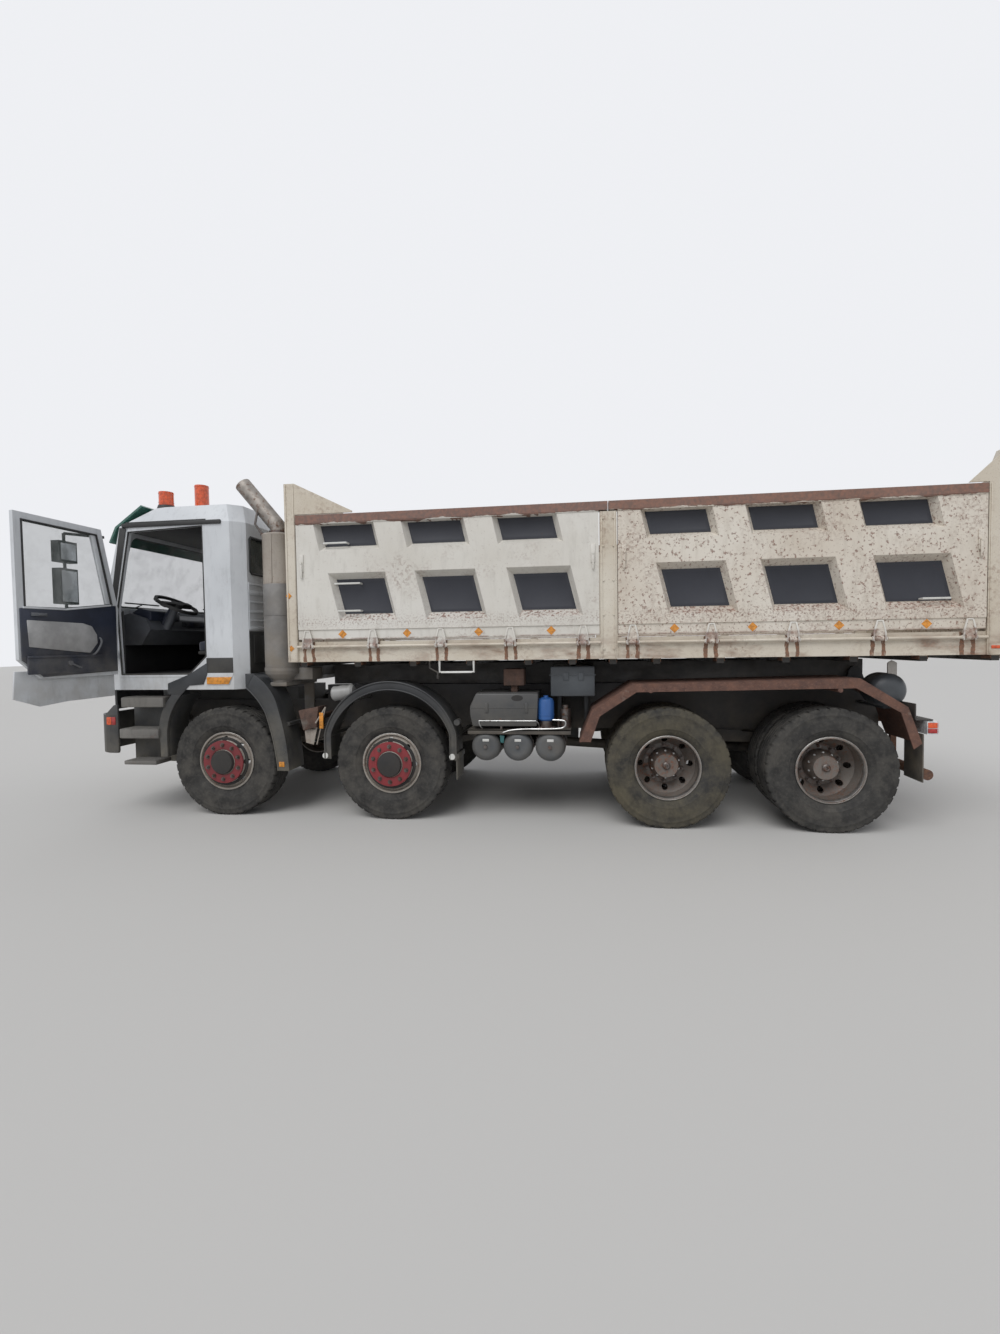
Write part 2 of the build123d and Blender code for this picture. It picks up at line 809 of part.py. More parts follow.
with BuildPart() as chassis_frame:
    for side in SIDES:
        rail = channel(RAIL_OUTER_Y, RAIL_TOP, RAIL_HEIGHT, RAIL_FLANGE, RAIL_WEB, side)
        beam_along(rail, RAIL_REAR, RAIL_FRONT)
        tipper_rail = channel(RAIL_OUTER_Y, SUBFRAME_TOP, SUBFRAME_HEIGHT, SUBFRAME_WIDTH, RAIL_WEB, side)
        beam_along(tipper_rail, RAIL_REAR, SUBFRAME_FRONT)
        ear_inner = (PIVOT_Y - PIVOT_EAR) * side
        pivot_foot = (
            (PIVOT_X - PIVOT_EYE_RADIUS, SUBFRAME_TOP - RAIL_WEB / 2),
            (PIVOT_X - PIVOT_EAR_RADIUS, PIVOT_Z),
            (PIVOT_X + PIVOT_EAR_RADIUS, PIVOT_Z),
            (PIVOT_X + PIVOT_EYE_RADIUS, SUBFRAME_TOP - RAIL_WEB / 2),
        )
        eye_plate(PIVOT_X, PIVOT_Z, PIVOT_EAR_RADIUS, pivot_foot, ear_inner, PIVOT_Y * side)
        pin_inner = (BED_BEAM_Y - BED_BEAM_WIDTH / 2 - PIN_END) * side
        cross_bar(PIVOT_X, PIVOT_Z, pin_inner, ear_inner, PIVOT_RADIUS)
        for shift in (-TILT_EAR_OFFSET, TILT_EAR_OFFSET):
            ear_y = TILT_ARM_Y * side + shift
            tilt_foot = (
                (RAIL_FRONT, TILT_Z - TILT_EYE_RADIUS),
                (TILT_X, TILT_Z - TILT_EYE_RADIUS),
                (TILT_X, TILT_Z + TILT_EYE_RADIUS),
                (RAIL_FRONT, TILT_Z + TILT_EYE_RADIUS / 2),
            )
            ear_half = TILT_EAR_THICKNESS / 2
            eye_plate(TILT_X, TILT_Z, TILT_EYE_RADIUS, tilt_foot, ear_y - ear_half, ear_y + ear_half)
        cross_bar(
            TILT_X,
            TILT_Z,
            TILT_ARM_Y * side - TILT_EAR_OFFSET,
            TILT_ARM_Y * side + TILT_EAR_OFFSET,
            TILT_PIN_RADIUS,
        )
        hoist_inner = (HOIST_RADIUS + CLEARANCE) * side
        hoist_outer = hoist_inner + HOIST_BEARING * side
        block((HOIST_X - HOIST_FRAME, HOIST_X + HOIST_FRAME), (hoist_inner, hoist_outer), HOIST_FRAME_Z)
    block((RAIL_FRONT, RAIL_FRONT + FRONT_BEAM), (-RAIL_OUTER_Y, RAIL_OUTER_Y), (RAIL_BOTTOM, RAIL_TOP))
    for x in CROSS_TUBES:
        cross_bar(x, RAIL_TOP - RAIL_HEIGHT / 2, -RAIL_INNER_Y, RAIL_INNER_Y, CROSS_TUBE_RADIUS)
    for x in (HOIST_X - HOIST_FRAME, HOIST_X + HOIST_FRAME):
        half = HOIST_BEAM / 2
        block((x - half, x + half), (-RAIL_INNER_Y, RAIL_INNER_Y), HOIST_FRAME_Z)
    for x, half_width in ENGINE_CRADLES:
        block((x, x + CRADLE_LENGTH), (-half_width, half_width), (ENGINE_BOTTOM - CRADLE_DEPTH, ENGINE_BOTTOM))
        for side in SIDES:
            block(
                (x, x + CRADLE_LENGTH),
                ((half_width - CRADLE_SIDE) * side, half_width * side),
                (ENGINE_BOTTOM - CRADLE_DEPTH, RAIL_BOTTOM),
            )
    cross_bar(
        HOIST_X,
        HOIST_PIVOT_Z,
        -RAIL_INNER_Y + 1,
        RAIL_INNER_Y - 1,
        HOIST_TRUNNION_RADIUS + FIT,
        mode=Mode.SUBTRACT,
    )
save(chassis_frame, "chassis_frame")

with BuildPart() as engine_block:
    block(
        (ENGINE_REAR, ENGINE_FRONT),
        (-ENGINE_HALF_WIDTH, ENGINE_HALF_WIDTH),
        (ENGINE_BOTTOM, ENGINE_TOP),
    )
    block(
        (GEARBOX_REAR, ENGINE_REAR),
        (-GEARBOX_HALF_WIDTH, GEARBOX_HALF_WIDTH),
        (ENGINE_BOTTOM, GEARBOX_TOP),
    )
save(engine_block, "engine_block")


# Axles with their springs

def leaf_spring(x, y, half_length, seat_z, rise, thickness):
    """A leaf pack as one curved bar. A negative rise turns its ends down."""
    low = ((x - half_length, seat_z + rise), (x, seat_z), (x + half_length, seat_z + rise))
    high = tuple((px, pz + thickness) for px, pz in low)
    with BuildSketch(side_plane(y + SPRING_WIDTH / 2)) as pack:
        with BuildLine():
            ThreePointArc(*low)
            Line(low[2], high[2])
            ThreePointArc(*high)
            Line(high[0], low[0])
        make_face()
    extrude(pack.sketch, amount=SPRING_WIDTH)


with BuildPart() as front_axles:
    for axle_x in (AXLE_1_X, AXLE_2_X):
        low = BEAM_TOP - BEAM_DEPTH
        outline = (
            (-KINGPIN_Y, low),
            (-BEAM_KNEE_Y, low),
            (-BEAM_DROP_Y, low - BEAM_DROP),
            (BEAM_DROP_Y, low - BEAM_DROP),
            (BEAM_KNEE_Y, low),
            (KINGPIN_Y, low),
            (KINGPIN_Y, BEAM_TOP),
            (BEAM_KNEE_Y, BEAM_TOP),
            (BEAM_DROP_Y, BEAM_TOP - BEAM_DROP),
            (-BEAM_DROP_Y, BEAM_TOP - BEAM_DROP),
            (-BEAM_KNEE_Y, BEAM_TOP),
            (-KINGPIN_Y, BEAM_TOP),
        )
        beam_along(outline, axle_x - KINGPIN_BOSS_RADIUS, axle_x + KINGPIN_BOSS_RADIUS)
        for side in SIDES:
            with BuildSketch(level_plane(low)):
                with Locations((axle_x, KINGPIN_Y * side)):
                    Circle(KINGPIN_BOSS_RADIUS)
            extrude(amount=BEAM_DEPTH)
            with BuildSketch(level_plane(low - FORK_GAP - FORK_THICKNESS - PIN_END)):
                with Locations((axle_x, KINGPIN_Y * side)):
                    Circle(KINGPIN_RADIUS)
            extrude(amount=BEAM_DEPTH + 2 * (FORK_GAP + FORK_THICKNESS + PIN_END))
            y = SPRING_Y * side
            leaf_spring(axle_x, y, SPRING_HALF_LENGTH, BEAM_TOP, SPRING_RISE, SPRING_THICKNESS)
            seat = (y - SPRING_WIDTH / 2, y + SPRING_WIDTH / 2)
            block((axle_x - SPRING_SEAT, axle_x + SPRING_SEAT), seat, (BEAM_TOP - 5, BEAM_TOP + 20))
            for end in (-1, 1):
                hanger = axle_x + end * SPRING_HALF_LENGTH
                block((hanger, hanger - end * HANGER_LENGTH), seat, (BEAM_TOP + SPRING_RISE, RAIL_BOTTOM))
save(front_axles, "front_axles")

with BuildPart() as rear_axles:
    bogie_x = (AXLE_3_X + AXLE_4_X) / 2
    bogie_half = (AXLE_3_X - AXLE_4_X) / 2 + SPRING_SEAT
    housing_end = TWIN_Y - TWIN_HUB_REACH - CLEARANCE
    for axle_x in (AXLE_3_X, AXLE_4_X):
        cross_bar(axle_x, AXLE_Z, -housing_end, housing_end, AXLE_TUBE_RADIUS)
        spindle = TWIN_Y + REAR_SPINDLE_END - 4
        cross_bar(axle_x, AXLE_Z, -spindle, spindle, SPINDLE_RADIUS)
        with Locations((axle_x, 0, AXLE_Z)):
            Sphere(DIFF_RADIUS)
        shaft_between((axle_x, 0, AXLE_Z), (axle_x + DIFF_NOSE, 0, AXLE_Z), DIFF_NOSE_RADIUS)
    for side in SIDES:
        y = SPRING_Y * side
        top = AXLE_Z + AXLE_TUBE_RADIUS - 3
        leaf_spring(bogie_x, y, bogie_half, top + BOGIE_ARCH, -BOGIE_ARCH, BOGIE_SPRING_THICKNESS)
        seat = (y - SPRING_WIDTH / 2, y + SPRING_WIDTH / 2)
        clamp_bottom = top + BOGIE_ARCH + BOGIE_SPRING_THICKNESS - 20
        block((bogie_x - BOGIE_CLAMP, bogie_x + BOGIE_CLAMP), seat, (clamp_bottom, RAIL_BOTTOM))
    shaft_between((AXLE_4_X, 0, AXLE_Z), (AXLE_3_X, 0, AXLE_Z), SHAFT_RADIUS)
    nose = (AXLE_3_X + DIFF_NOSE - 10, 0, AXLE_Z)
    shaft_between((GEARBOX_REAR - SHAFT_GAP, 0, SHAFT_Z), nose, SHAFT_RADIUS)
save(rear_axles, "rear_axles")


# Bumper and steps

def bumper_outline(inset):
    """The bumper seen from above, set in by a wall."""
    front = BUMPER_FRONT - inset
    half = BUMPER_HALF_WIDTH - inset
    side_x = BUMPER_CORNER_X
    flat_y = BUMPER_FLAT_Y
    middle = ((front + side_x) / 2 + BUMPER_BULGE, (half + flat_y) / 2 + BUMPER_BULGE)
    with BuildLine() as line:
        Polyline((BUMPER_REAR, -half), (side_x, -half))
        ThreePointArc((side_x, -half), (middle[0], -middle[1]), (front, -flat_y))
        Line((front, -flat_y), (front, flat_y))
        ThreePointArc((front, flat_y), middle, (side_x, half))
        Polyline((side_x, half), (BUMPER_REAR, half), (BUMPER_REAR, -half))
    return make_face(line.edges())


with BuildPart() as front_bumper:
    with BuildSketch(level_plane(BUMPER_BOTTOM)):
        add(bumper_outline(0))
        add(bumper_outline(BUMPER_WALL), mode=Mode.SUBTRACT)
    extrude(amount=BUMPER_TOP - BUMPER_BOTTOM)
    for side in SIDES:
        block(
            (RAIL_FRONT + FRONT_BEAM, BUMPER_FRONT - BUMPER_WALL),
            ((RAIL_OUTER_Y - RAIL_FLANGE / 2) * side, RAIL_OUTER_Y * side),
            (RAIL_BOTTOM + 20, RAIL_BOTTOM + 100),
        )
save(front_bumper, "front_bumper")

with BuildPart() as cab_steps:
    for side in SIDES:
        for front, rear, bottom, top in STEP_BOARDS:
            block((rear, front), (STEP_INNER_Y * side, STEP_OUTER_Y * side), (bottom, top))
        block((STEP_POST_REAR, STEP_POST_FRONT), ((STEP_OUTER_Y - 45) * side, STEP_OUTER_Y * side), STEP_POST_Z)
        block((STEP_PLATE_REAR, STEP_PLATE_FRONT), (STEP_INNER_Y * side, (STEP_INNER_Y + 12) * side), STEP_PLATE_Z)
        cross_bar(STEP_BRACKET_X, STEP_BRACKET_Z, (RAIL_OUTER_Y + SEAT_GAP) * side, (STEP_INNER_Y + 2) * side, 25)
save(cab_steps, "cab_steps")


# Mudguards

def arch_shell(outer, inner, y_from, y_to, bend):
    """A mudguard between two x, z arches given by their ends and top."""
    with BuildSketch(side_plane(max(y_from, y_to))) as band:
        with BuildLine():
            Line(outer[0], outer[1])
            ThreePointArc(outer[1], bend[0], outer[2])
            Line(outer[2], outer[3])
            Line(outer[3], inner[3])
            Line(inner[3], inner[2])
            ThreePointArc(inner[2], bend[1], inner[1])
            Line(inner[1], inner[0])
            Line(inner[0], outer[0])
        make_face()
    extrude(band.sketch, amount=abs(y_to - y_from))


with BuildPart() as mudguards:
    for side in SIDES:
        fender_y = (GUARD_INNER_Y * side, GUARD_OUTER_Y * side)
        slab(CAB_FENDER, *fender_y)
        cross_bar(
            FENDER_TUBE_X,
            FENDER_TUBE_Z,
            (RAIL_OUTER_Y + SEAT_GAP) * side,
            GUARD_OUTER_Y * side,
            GUARD_TUBE_RADIUS,
        )
        half = GUARD_HALF_LENGTH
        wall = GUARD_WALL
        outer = (
            (AXLE_2_X - half - wall, GUARD_END_Z),
            (AXLE_2_X - half - wall, GUARD_KNEE_Z),
            (AXLE_2_X + half + wall, GUARD_KNEE_Z),
            (AXLE_2_X + half + wall, GUARD_END_Z),
        )
        inner = (
            (AXLE_2_X - half, GUARD_END_Z),
            (AXLE_2_X - half, GUARD_KNEE_Z),
            (AXLE_2_X + half, GUARD_KNEE_Z),
            (AXLE_2_X + half, GUARD_END_Z),
        )
        crown = ((AXLE_2_X, GUARD_TOP + wall), (AXLE_2_X, GUARD_TOP))
        arch_shell(outer, inner, *fender_y, crown)
        for end in (-1, 1):
            tube_x = AXLE_2_X + end * (half + wall + GUARD_TUBE_RADIUS - 4)
            cross_bar(
                tube_x,
                GUARD_TUBE_Z,
                (RAIL_OUTER_Y + SEAT_GAP) * side,
                GUARD_OUTER_Y * side,
                GUARD_TUBE_RADIUS,
            )
save(mudguards, "mudguards")

with BuildPart() as rear_mudguards:
    for side in SIDES:
        slab(REAR_GUARD_OUTER + REAR_GUARD_SHEET[::-1], REAR_GUARD_INNER_Y * side, REAR_GUARD_OUTER_Y * side)
        slab(
            REAR_GUARD_OUTER + REAR_GUARD_LIP[::-1],
            (REAR_GUARD_OUTER_Y - REAR_GUARD_LIP_WIDTH) * side,
            REAR_GUARD_OUTER_Y * side,
        )
        for x in REAR_GUARD_TUBES:
            cross_bar(
                x,
                REAR_GUARD_TUBE_Z,
                (RAIL_OUTER_Y + SEAT_GAP) * side,
                REAR_GUARD_OUTER_Y * side,
                GUARD_TUBE_RADIUS,
            )
save(rear_mudguards, "rear_mudguards")


# Tanks, boxes and the exhaust beside the rails

with BuildPart() as side_boxes:
    block(SHELF_X, (RAIL_OUTER_Y + SEAT_GAP, SHELF_OUTER_Y), SHELF_Z)
    for x, y, z in LEFT_BOXES:
        block(x, y, z)
    cross_bar(BROWN_BOX_TUBE_X, BROWN_BOX_TUBE_Z, RAIL_OUTER_Y + SEAT_GAP, BROWN_BOX_INNER_Y + 4, GUARD_TUBE_RADIUS)
save(side_boxes, "side_boxes")

with BuildPart() as air_tanks:
    for x in AIR_TANK_X:
        cross_bar(x, AIR_TANK_Z, AIR_TANK_INNER_Y, AIR_TANK_OUTER_Y, AIR_TANK_RADIUS)
    fillet(air_tanks.edges().filter_by(GeomType.CIRCLE), AIR_TANK_DOME)
    for x in AIR_TANK_X:
        for y in AIR_TANK_STRAPS:
            block((x - 40, x + 40), (y - 20, y + 20), (AIR_TANK_Z, SHELF_Z[0] - SEAT_GAP))
save(air_tanks, "air_tanks")

with BuildPart() as fuel_tank:
    block(FUEL_TANK_X, (-FUEL_TANK_INNER_Y, -FUEL_TANK_OUTER_Y), FUEL_TANK_Z)
    fillet(fuel_tank.edges().filter_by(Axis.X), FUEL_TANK_CORNER)
    for x in FUEL_TANK_STRAPS:
        block((x - 30, x + 30), (-RAIL_OUTER_Y - SEAT_GAP, -FUEL_TANK_INNER_Y - 40), (FUEL_STRAP_Z, FUEL_STRAP_Z + 80))
save(fuel_tank, "fuel_tank")

with BuildPart() as exhaust_stack:
    for bottom, top, radius in STACK_STEPS:
        with BuildSketch(level_plane(bottom)):
            with Locations((STACK_X, STACK_Y)):
                Circle(radius)
        extrude(amount=top - bottom)
    shaft_between((STACK_X, STACK_Y, STACK_BEND_Z), (STACK_END_X, STACK_Y, STACK_END_Z), STACK_PIPE_RADIUS)
    with Locations((STACK_X, STACK_Y, STACK_BEND_Z)):
        Sphere(STACK_PIPE_RADIUS)
    block(
        (STACK_X - 60, STACK_X + 60),
        (RAIL_OUTER_Y + SEAT_GAP, RAIL_OUTER_Y + 30),
        (RAIL_TOP - 180, STACK_STEPS[0][0]),
    )
    block(
        (STACK_X - 60, STACK_X + 60),
        (RAIL_OUTER_Y + SEAT_GAP, STACK_Y + STACK_STEPS[0][2]),
        (STACK_STEPS[0][0] - 40, STACK_STEPS[0][0]),
    )
save(exhaust_stack, "exhaust_stack")

with BuildPart() as rear_bar:
    block(REAR_BAR_X, (-REAR_BAR_HALF, REAR_BAR_HALF), REAR_BAR_Z)
    for side in SIDES:
        block(
            (RAIL_REAR - SEAT_GAP, REAR_BAR_X[1] - 2),
            ((RAIL_OUTER_Y - RAIL_FLANGE) * side, RAIL_OUTER_Y * side),
            REAR_BAR_Z,
        )
        hanger_y = ((REAR_HANGER_Y - 20) * side, (REAR_HANGER_Y + 20) * side)
        block(REAR_HANGER_X, hanger_y, (GUARD_BAR_Z, REAR_BAR_Z[1] - 10))
    cross_bar(sum(REAR_HANGER_X) / 2, GUARD_BAR_Z, -UNDERRUN_HALF, UNDERRUN_HALF, UNDERRUN_RADIUS)
    block(
        (REAR_BAR_X[0], TOW_X - TOW_BODY),
        (-TOW_HALF_WIDTH, TOW_HALF_WIDTH),
        (TOW_Z - TOW_HALF_HEIGHT, TOW_Z + TOW_HALF_HEIGHT),
    )
    block(
        (TOW_X - TOW_BODY + 25, TOW_X - TOW_BODY - 10),
        (-TOW_HALF_WIDTH - 10, TOW_HALF_WIDTH + 10),
        (TOW_Z - TOW_JAW / 2, TOW_Z + TOW_JAW / 2),
    )
    with BuildSketch(side_plane(TOW_HALF_WIDTH + 20)):
        with BuildLine():
            Polyline(
                (TOW_X + TOW_BODY / 2, TOW_Z - TOW_JAW / 2),
                (TOW_X + TOW_BODY / 2, TOW_Z + TOW_JAW / 2),
                (TOW_X - TOW_BODY - 20, TOW_Z + TOW_JAW / 2 + 15),
                (TOW_X - TOW_BODY - 20, TOW_Z - TOW_JAW / 2 - 15),
                close=True,
            )
        make_face()
    extrude(amount=2 * TOW_HALF_WIDTH + 40, mode=Mode.SUBTRACT)
    with BuildSketch(level_plane(TOW_Z - TOW_HALF_HEIGHT)):
        with Locations((TOW_X, 0)):
            Circle(TOW_PIN_RADIUS)
    extrude(amount=2 * TOW_HALF_HEIGHT, mode=Mode.SUBTRACT)
save(rear_bar, "rear_bar")

with BuildPart() as lamps:
    for side in SIDES:
        block(
            (BUMPER_FRONT + SEAT_GAP, BUMPER_FRONT + HEADLAMP_DEPTH),
            (HEADLAMP_INNER_Y * side, HEADLAMP_OUTER_Y * side),
            HEADLAMP_Z,
        )
        block(TAIL_LAMP_X, ((REAR_BAR_HALF + SEAT_GAP) * side, TAIL_LAMP_OUTER_Y * side), TAIL_LAMP_Z)
save(lamps, "lamps")


# Cab

def cab_section(z, front, rear, half, corner_x, corner_y, bevel_x, bevel_y):
    """The cab seen from above at one height: flat sides, a rounded front and bevelled rear corners."""
    right = (
        (rear, -(half - bevel_y)),
        (rear + bevel_x, -half),
        (front - corner_x, -half),
        (front - corner_x * 0.42, -(half - corner_y * 0.14)),
        (front - corner_x * 0.12, -(half - corner_y * 0.5)),
        (front, -(half - corner_y)),
    )
    left = tuple((x, -y) for x, y in reversed(right))
    with BuildSketch(level_plane(z)) as section:
        with BuildLine():
            Polyline(*right, *left, close=True)
        make_face()
    return section.sketch


def cab_sections(inset):
    """Four cab sections from the floor to the roof, set in by a wall."""
    table = (
        (CAB_BOTTOM + inset, CAB_FRONT, CAB_REAR, CAB_HALF_WIDTH, 1.0),
        (CAB_BELT, CAB_FRONT, CAB_REAR, CAB_HALF_WIDTH, 1.0),
        (CAB_GUTTER, CAB_FRONT - SCREEN_SETBACK, CAB_REAR, CAB_HALF_WIDTH, 0.8),
        (CAB_ROOF - inset, CAB_FRONT - ROOF_FRONT_SETBACK, CAB_REAR + ROOF_REAR_SETBACK, CAB_HALF_WIDTH - ROOF_TAPER, 0.8),
    )
    return [
        cab_section(
            z,
            front - inset,
            rear + inset,
            half - inset,
            FRONT_CORNER_X * corner,
            FRONT_CORNER_Y * corner,
            REAR_BEVEL_X,
            REAR_BEVEL_Y,
        )
        for z, front, rear, half, corner in table
    ]


SCREEN_SLOPE = atan2(SCREEN_SETBACK, CAB_GUTTER - CAB_BELT)
SCREEN_LENGTH = sqrt(SCREEN_SETBACK**2 + (CAB_GUTTER - CAB_BELT) ** 2)
SCREEN_PLANE = Plane(
    origin=(CAB_FRONT, 0, CAB_BELT),
    x_dir=(0, 1, 0),
    z_dir=(cos(SCREEN_SLOPE), 0, sin(SCREEN_SLOPE)),
)


def screen_shape(shrink):
    """The windscreen's outline on its sloping plane."""
    with BuildSketch(SCREEN_PLANE) as shape:
        with Locations((0, SCREEN_LENGTH / 2)):
            RectangleRounded(
                2 * (SCREEN_HALF_WIDTH - shrink),
                SCREEN_LENGTH - 2 * SCREEN_MARGIN - 2 * shrink,
                SCREEN_CORNER - shrink,
            )
    return shape.sketch


def rear_window_shape(shrink):
    """The two rear windows on the cab's back wall."""
    with BuildSketch(cross_plane(CAB_REAR)) as shape:
        with Locations((-REAR_WINDOW_Y, REAR_WINDOW_Z), (REAR_WINDOW_Y, REAR_WINDOW_Z)):
            RectangleRounded(
                REAR_WINDOW_WIDTH - 2 * shrink,
                REAR_WINDOW_HEIGHT - 2 * shrink,
                REAR_WINDOW_CORNER - shrink,
            )
    return shape.sketch


def door_face(outline, side, grow, y):
    """A door or window outline on the side plane, grown or shrunk."""
    with BuildSketch(side_plane(y * side)) as face:
        with BuildLine():
            Polyline(*outline, close=True)
        make_face()
        if grow:
            offset(amount=grow, kind=Kind.INTERSECTION)
    return face.sketch


with BuildPart() as cab_shell:
    loft(cab_sections(0), ruled=True)
    loft(cab_sections(CAB_WALL), ruled=True, mode=Mode.SUBTRACT)
    for side in SIDES:
        opening = door_face(DOOR_OUTLINE, side, DOOR_GAP, CAB_HALF_WIDTH + 20)
        extrude(opening, amount=side * (DOOR_THICKNESS + 60), mode=Mode.SUBTRACT)
    extrude(screen_shape(0), amount=SCREEN_CUT, both=True, mode=Mode.SUBTRACT)
    extrude(rear_window_shape(0), amount=CAB_WALL * 1.5, both=True, mode=Mode.SUBTRACT)
    with BuildSketch(cross_plane(CAB_FRONT - CAB_WALL - 20)):
        with Locations((0, (PANEL_BOTTOM + PANEL_TOP) / 2)):
            Rectangle(2 * PANEL_HALF_WIDTH, PANEL_TOP - PANEL_BOTTOM)
    extrude(amount=CAB_WALL + 40, mode=Mode.SUBTRACT)
    for side in SIDES:
        arm_foot = (
            (TILT_X - TILT_EYE_RADIUS, TILT_Z),
            (TILT_X - TILT_EYE_RADIUS, CAB_BOTTOM + 2),
            (TILT_X + TILT_EYE_RADIUS, CAB_BOTTOM + 2),
            (TILT_X + TILT_EYE_RADIUS, TILT_Z),
        )
        arm = (TILT_ARM_Y * side - TILT_ARM_THICKNESS / 2, TILT_ARM_Y * side + TILT_ARM_THICKNESS / 2)
        eye_plate(TILT_X, TILT_Z, TILT_EYE_RADIUS, arm_foot, *arm)
        cross_bar(TILT_X, TILT_Z, *arm, TILT_PIN_RADIUS + FIT, mode=Mode.SUBTRACT)
        for z in DOOR_HINGE_HEIGHTS:
            for end in (-1, 1):
                near = z + end * (DOOR_SLEEVE_HEIGHT / 2 + 1)
                block(
                    (DOOR_HINGE_X - 6, DOOR_HINGE_X + 18),
                    ((CAB_HALF_WIDTH - 14) * side, (DOOR_HINGE_Y + DOOR_PIN_RADIUS + 4) * side),
                    (min(near, near + end * 14), max(near, near + end * 14)),
                )
            with BuildSketch(level_plane(z - DOOR_SLEEVE_HEIGHT / 2 - 10)):
                with Locations((DOOR_HINGE_X, DOOR_HINGE_Y * side)):
                    Circle(DOOR_PIN_RADIUS)
            extrude(amount=DOOR_SLEEVE_HEIGHT + 20)
save(cab_shell, "cab_shell")

with BuildPart() as cab_glass:
    extrude(screen_shape(SEAT_GAP).moved(Location(SCREEN_PLANE.z_dir * -20)), amount=GLASS_THICKNESS)
    rear_glass = rear_window_shape(SEAT_GAP).moved(Location((CAB_WALL / 2, 0, 0)))
    extrude(rear_glass, amount=GLASS_THICKNESS)
save(cab_glass, "cab_glass")

with BuildPart() as cab_front_panel:
    block(
        (CAB_FRONT - CAB_WALL + 2, CAB_FRONT),
        (-PANEL_HALF_WIDTH + SEAT_GAP, PANEL_HALF_WIDTH - SEAT_GAP),
        (PANEL_BOTTOM + SEAT_GAP, PANEL_TOP - SEAT_GAP),
    )
    with BuildSketch(cross_plane(CAB_FRONT)):
        with Locations((0, GRILLE_Z)):
            with GridLocations(0, GRILLE_PITCH, 1, GRILLE_SLOTS):
                Rectangle(2 * GRILLE_HALF_WIDTH, GRILLE_SLOT)
    extrude(amount=-GRILLE_DEPTH, mode=Mode.SUBTRACT)
    block((LIP_FRONT - LIP_WALL, LIP_FRONT), (-LIP_HALF_WIDTH, LIP_HALF_WIDTH), (LIP_BOTTOM, CAB_BOTTOM - SEAT_GAP))
save(cab_front_panel, "cab_front_panel")

with BuildPart() as sun_visor:
    with BuildSketch(side_plane(VISOR_HALF_WIDTH)):
        with BuildLine():
            Polyline(*VISOR_PROFILE, close=True)
        make_face()
    extrude(amount=2 * VISOR_HALF_WIDTH)
    gutter_x = CAB_FRONT - SCREEN_SETBACK
    roof_fall = (CAB_ROOF - CAB_GUTTER) / (ROOF_FRONT_SETBACK - SCREEN_SETBACK)
    for y in VISOR_FINS:
        fin = (
            (gutter_x - 20, CAB_GUTTER + 20 * roof_fall + SEAT_GAP),
            VISOR_PROFILE[5],
            VISOR_PROFILE[4],
            (VISOR_PROFILE[4][0], CAB_GUTTER + (gutter_x - VISOR_PROFILE[4][0]) * roof_fall + SEAT_GAP),
        )
        slab(fin, y - VISOR_FIN_THICKNESS / 2, y + VISOR_FIN_THICKNESS / 2)
save(sun_visor, "sun_visor")

with BuildPart() as beacons:
    for x, y, top in BEACONS:
        with BuildSketch(level_plane(BEACON_BASE)):
            with Locations((x, y)):
                Circle(BEACON_RADIUS)
        extrude(amount=top - BEACON_BASE)
save(beacons, "beacons")

with BuildPart() as mirrors:
    for side in SIDES:
        for z in MIRROR_ARMS:
            shaft_between((MIRROR_FOOT_X, MIRROR_FOOT_Y * side, z), (MIRROR_X, MIRROR_Y * side, z), MIRROR_ARM_RADIUS)
        for bottom, top in MIRROR_HEADS:
            block(
                (MIRROR_X - MIRROR_DEPTH / 2, MIRROR_X + MIRROR_DEPTH / 2),
                ((MIRROR_Y - MIRROR_WIDTH / 2) * side, (MIRROR_Y + MIRROR_WIDTH / 2) * side),
                (bottom, top),
            )
        with BuildSketch(level_plane(MIRROR_ARMS[0])):
            with Locations((MIRROR_X, MIRROR_Y * side)):
                Circle(MIRROR_ARM_RADIUS)
        extrude(amount=MIRROR_ARMS[1] - MIRROR_ARMS[0])
save(mirrors, "mirrors")

with BuildPart() as seats:
    floor_top = CAB_BOTTOM + CAB_WALL + SEAT_GAP
    for side in SIDES:
        y = SEAT_Y * side
        block((SEAT_REAR, SEAT_REAR + SEAT_LENGTH - 80), (y - SEAT_WIDTH / 3, y + SEAT_WIDTH / 3), (floor_top, SEAT_BASE))
        outline = (
            (SEAT_REAR + 60, SEAT_BASE),
            (SEAT_REAR + SEAT_LENGTH, SEAT_BASE + 30),
            (SEAT_REAR + SEAT_LENGTH, SEAT_BASE + 150),
            (SEAT_REAR + 150, SEAT_BASE + 130),
            (SEAT_REAR + 70, SEAT_TOP),
            (SEAT_REAR - 40, SEAT_TOP),
            (SEAT_REAR, SEAT_BASE + 60),
        )
        slab(outline, y - SEAT_WIDTH / 2, y + SEAT_WIDTH / 2)
save(seats, "seats")

with BuildPart() as dashboard:
    slab(DASH_PROFILE, -DASH_HALF_WIDTH, DASH_HALF_WIDTH)
    column_start = Vector(STEERING_X, SEAT_Y, STEERING_Z) - STEERING_AXIS * (STEERING_HUB / 2 + FIT)
    shaft_between(tuple(column_start), tuple(column_start - STEERING_AXIS * COLUMN_LENGTH), COLUMN_RADIUS)
save(dashboard, "dashboard")

